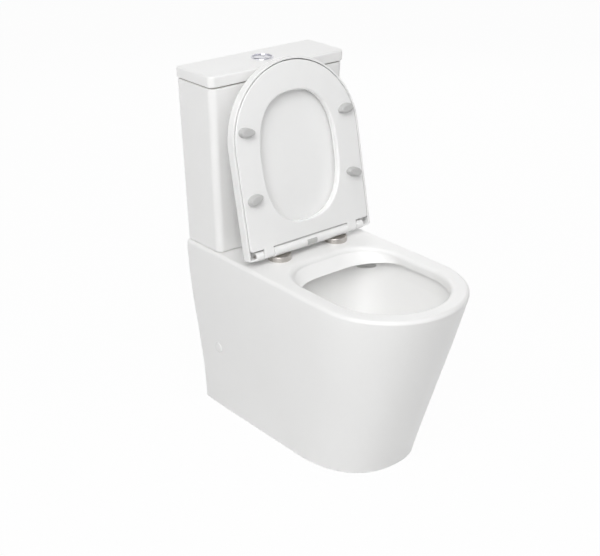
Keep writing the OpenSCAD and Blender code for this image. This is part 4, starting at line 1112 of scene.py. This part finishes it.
# place, radius and depth of each hole
deck_holes = [(0, PASS_Y, GASKET_SEAT, 8.0), (0, PASS_Y, FLUSH_HOLE, DECK_THICK),
              (INLET_X, INLET_Y, INLET_HOLE, DECK_THICK)]
for side in (-1, 1):
    deck_holes.append((side * BOLT_X, PASS_Y, BOLT_HOLE, DECK_THICK))
    deck_holes.append((side * BASE_X, BASE_Y, HINGE_HOLE, DECK_THICK))
for x, y, radius, depth in deck_holes:
    under = 1.0 if depth == DECK_THICK else 0.0
    cut(pan, rod(radius, (x, y, PAN_TOP - depth - under), (x, y, PAN_TOP + 1), 64))
skirt_x, fix_y = pan_side(FIX_Z), WALL - FIX_OUT
for side in (-1, 1):
    for radius, depth in ((FIX_BORE, SKIRT + 12), (CAP_RADIUS + 0.3, CAP_SUNK)):
        bore = rod(radius, (side * (skirt_x - depth), fix_y, FIX_Z), (side * (skirt_x + 8), fix_y, FIX_Z), 64)
        cut(pan, bore)
dress(pan, "pan", 38)

# %% Screw covers
cap_in, cap_out = skirt_x - CAP_SUNK, skirt_x - CAP_SUNK + CAP_THICK
cap = rod(CAP_RADIUS, (-cap_in, fix_y, FIX_Z), (-cap_out, fix_y, FIX_Z), 64)
soften_edges(cap, lambda p: abs(p.x) > cap_out - 0.1, CAP_EDGE, 5)
middle = Matrix.Translation((0, fix_y * MM, 0))
other_cap = copy_of(cap, middle @ Matrix.Rotation(math.pi, 4, "Z") @ middle.inverted())
dress(join([cap, other_cap], "screw_cover_caps"), "screw_covers")

# %% [markdown]
# ## Studio
#
# The floor is a plain pale sheet. Seen directly, or in a reflection, it is white,
# as in a catalogue picture, and it still lights the object from below as paper does.
# The dome is white too. In reflections it turns dark overhead, where a studio has its
# unlit ceiling, and that dark shows only in polished metal.

# %% Floor
PAPER = (0.78, 0.78, 0.78)
WHITE = (1.0, 1.0, 1.0)
bpy.ops.object.select_all(action="DESELECT")
bpy.ops.mesh.primitive_plane_add(size=30.0)
floor = bpy.context.object
floor.name = "floor"
paper = Finish("floor_paper", base_color=PAPER, roughness=1.0, specular_IOR_level=0.0)
direct, mirror, glass = paper.rays()
seen = 1 - (1 - direct) * (1 - mirror) * (1 - glass)
glow = paper.node("ShaderNodeEmission", None, {"Color": (*WHITE, 1.0), "Strength": 1.0})
sheet = Wire(paper, paper.shader.outputs[0])
shown = paper.node("ShaderNodeMixShader", None, {0: seen * 0.97, 1: sheet, 2: glow})
paper.feed(paper.end.inputs["Surface"], shown)
floor.data.materials.append(paper.material)
print("floor", [round(side) for side in floor.dimensions[:2]], "m")

# %% Dome
DOME_STRENGTH = 0.19
CEILING_TINT = (0.04, 0.04, 0.07)
world = bpy.data.worlds.new("studio")
bpy.context.scene.world = world
world.use_nodes = True
dome = Shading(world.node_tree, "ShaderNodeOutputWorld")
direct, mirror, glass = dome.rays()
height = dome.axes(dome.node("ShaderNodeTexCoord"))[2]
below_ceiling = dome.node("ShaderNodeMapRange", {"interpolation_type": "SMOOTHSTEP"},
                          {0: height, 1: 0.52, 2: 0.66, 3: 1.0, 4: 0.06})
fill = dome.node("ShaderNodeBackground", None, {0: (*WHITE, 1.0), 1: DOME_STRENGTH})
backdrop = dome.node("ShaderNodeBackground", None, {0: (*WHITE, 1.0), 1: 1.0})
gloss = dome.node("ShaderNodeBackground", None, {0: dome.blend(below_ceiling, CEILING_TINT, WHITE), 1: 1.0})
lit = dome.node("ShaderNodeMixShader", None, {0: mirror, 1: fill, 2: gloss})
sky = dome.node("ShaderNodeMixShader", None, {0: 1 - (1 - direct) * (1 - glass), 1: lit, 2: backdrop})
dome.feed(dome.end.inputs["Surface"], sky)
print("dome", DOME_STRENGTH)

# %% [markdown]
# Large soft boxes stand round the object. The main one is high on the left, next to
# the camera, and the others only lift the shades that it leaves. The one behind is
# kept out of reflections, since a low light opposite the camera would glare on every
# level surface.

# %% Lamps
LAMP_SIZE, LAMP_TARGET = 2.2, (0, 0, 0.45)
LAMPS = {
    "key_softbox": ((-2.05, -1.60, 2.79), 79.2),
    "overhead_softbox": ((0.13, -0.72, 3.87), 20.6),
    "right_softbox": ((1.84, -2.20, 2.46), 9.6),
    "left_softbox": ((-3.03, 0.00, 2.20), 9.6),
    "front_softbox": ((-2.06, -2.45, 1.87), 3.0),
    "back_softbox": ((2.10, 2.20, 1.70), 26.0)}
for name, (place, watts) in LAMPS.items():
    turn = (Vector(LAMP_TARGET) - Vector(place)).to_track_quat("-Z", "Y").to_euler()
    bpy.ops.object.light_add(type="AREA", location=place, rotation=turn)
    lamp = bpy.context.object
    lamp.name = name
    lamp.data.size = LAMP_SIZE
    lamp.data.energy = watts
bpy.data.objects["back_softbox"].visible_glossy = False
bpy.context.scene.view_settings.view_transform = "Standard"
print("studio lit by", len(LAMPS), "lamps and a dome")
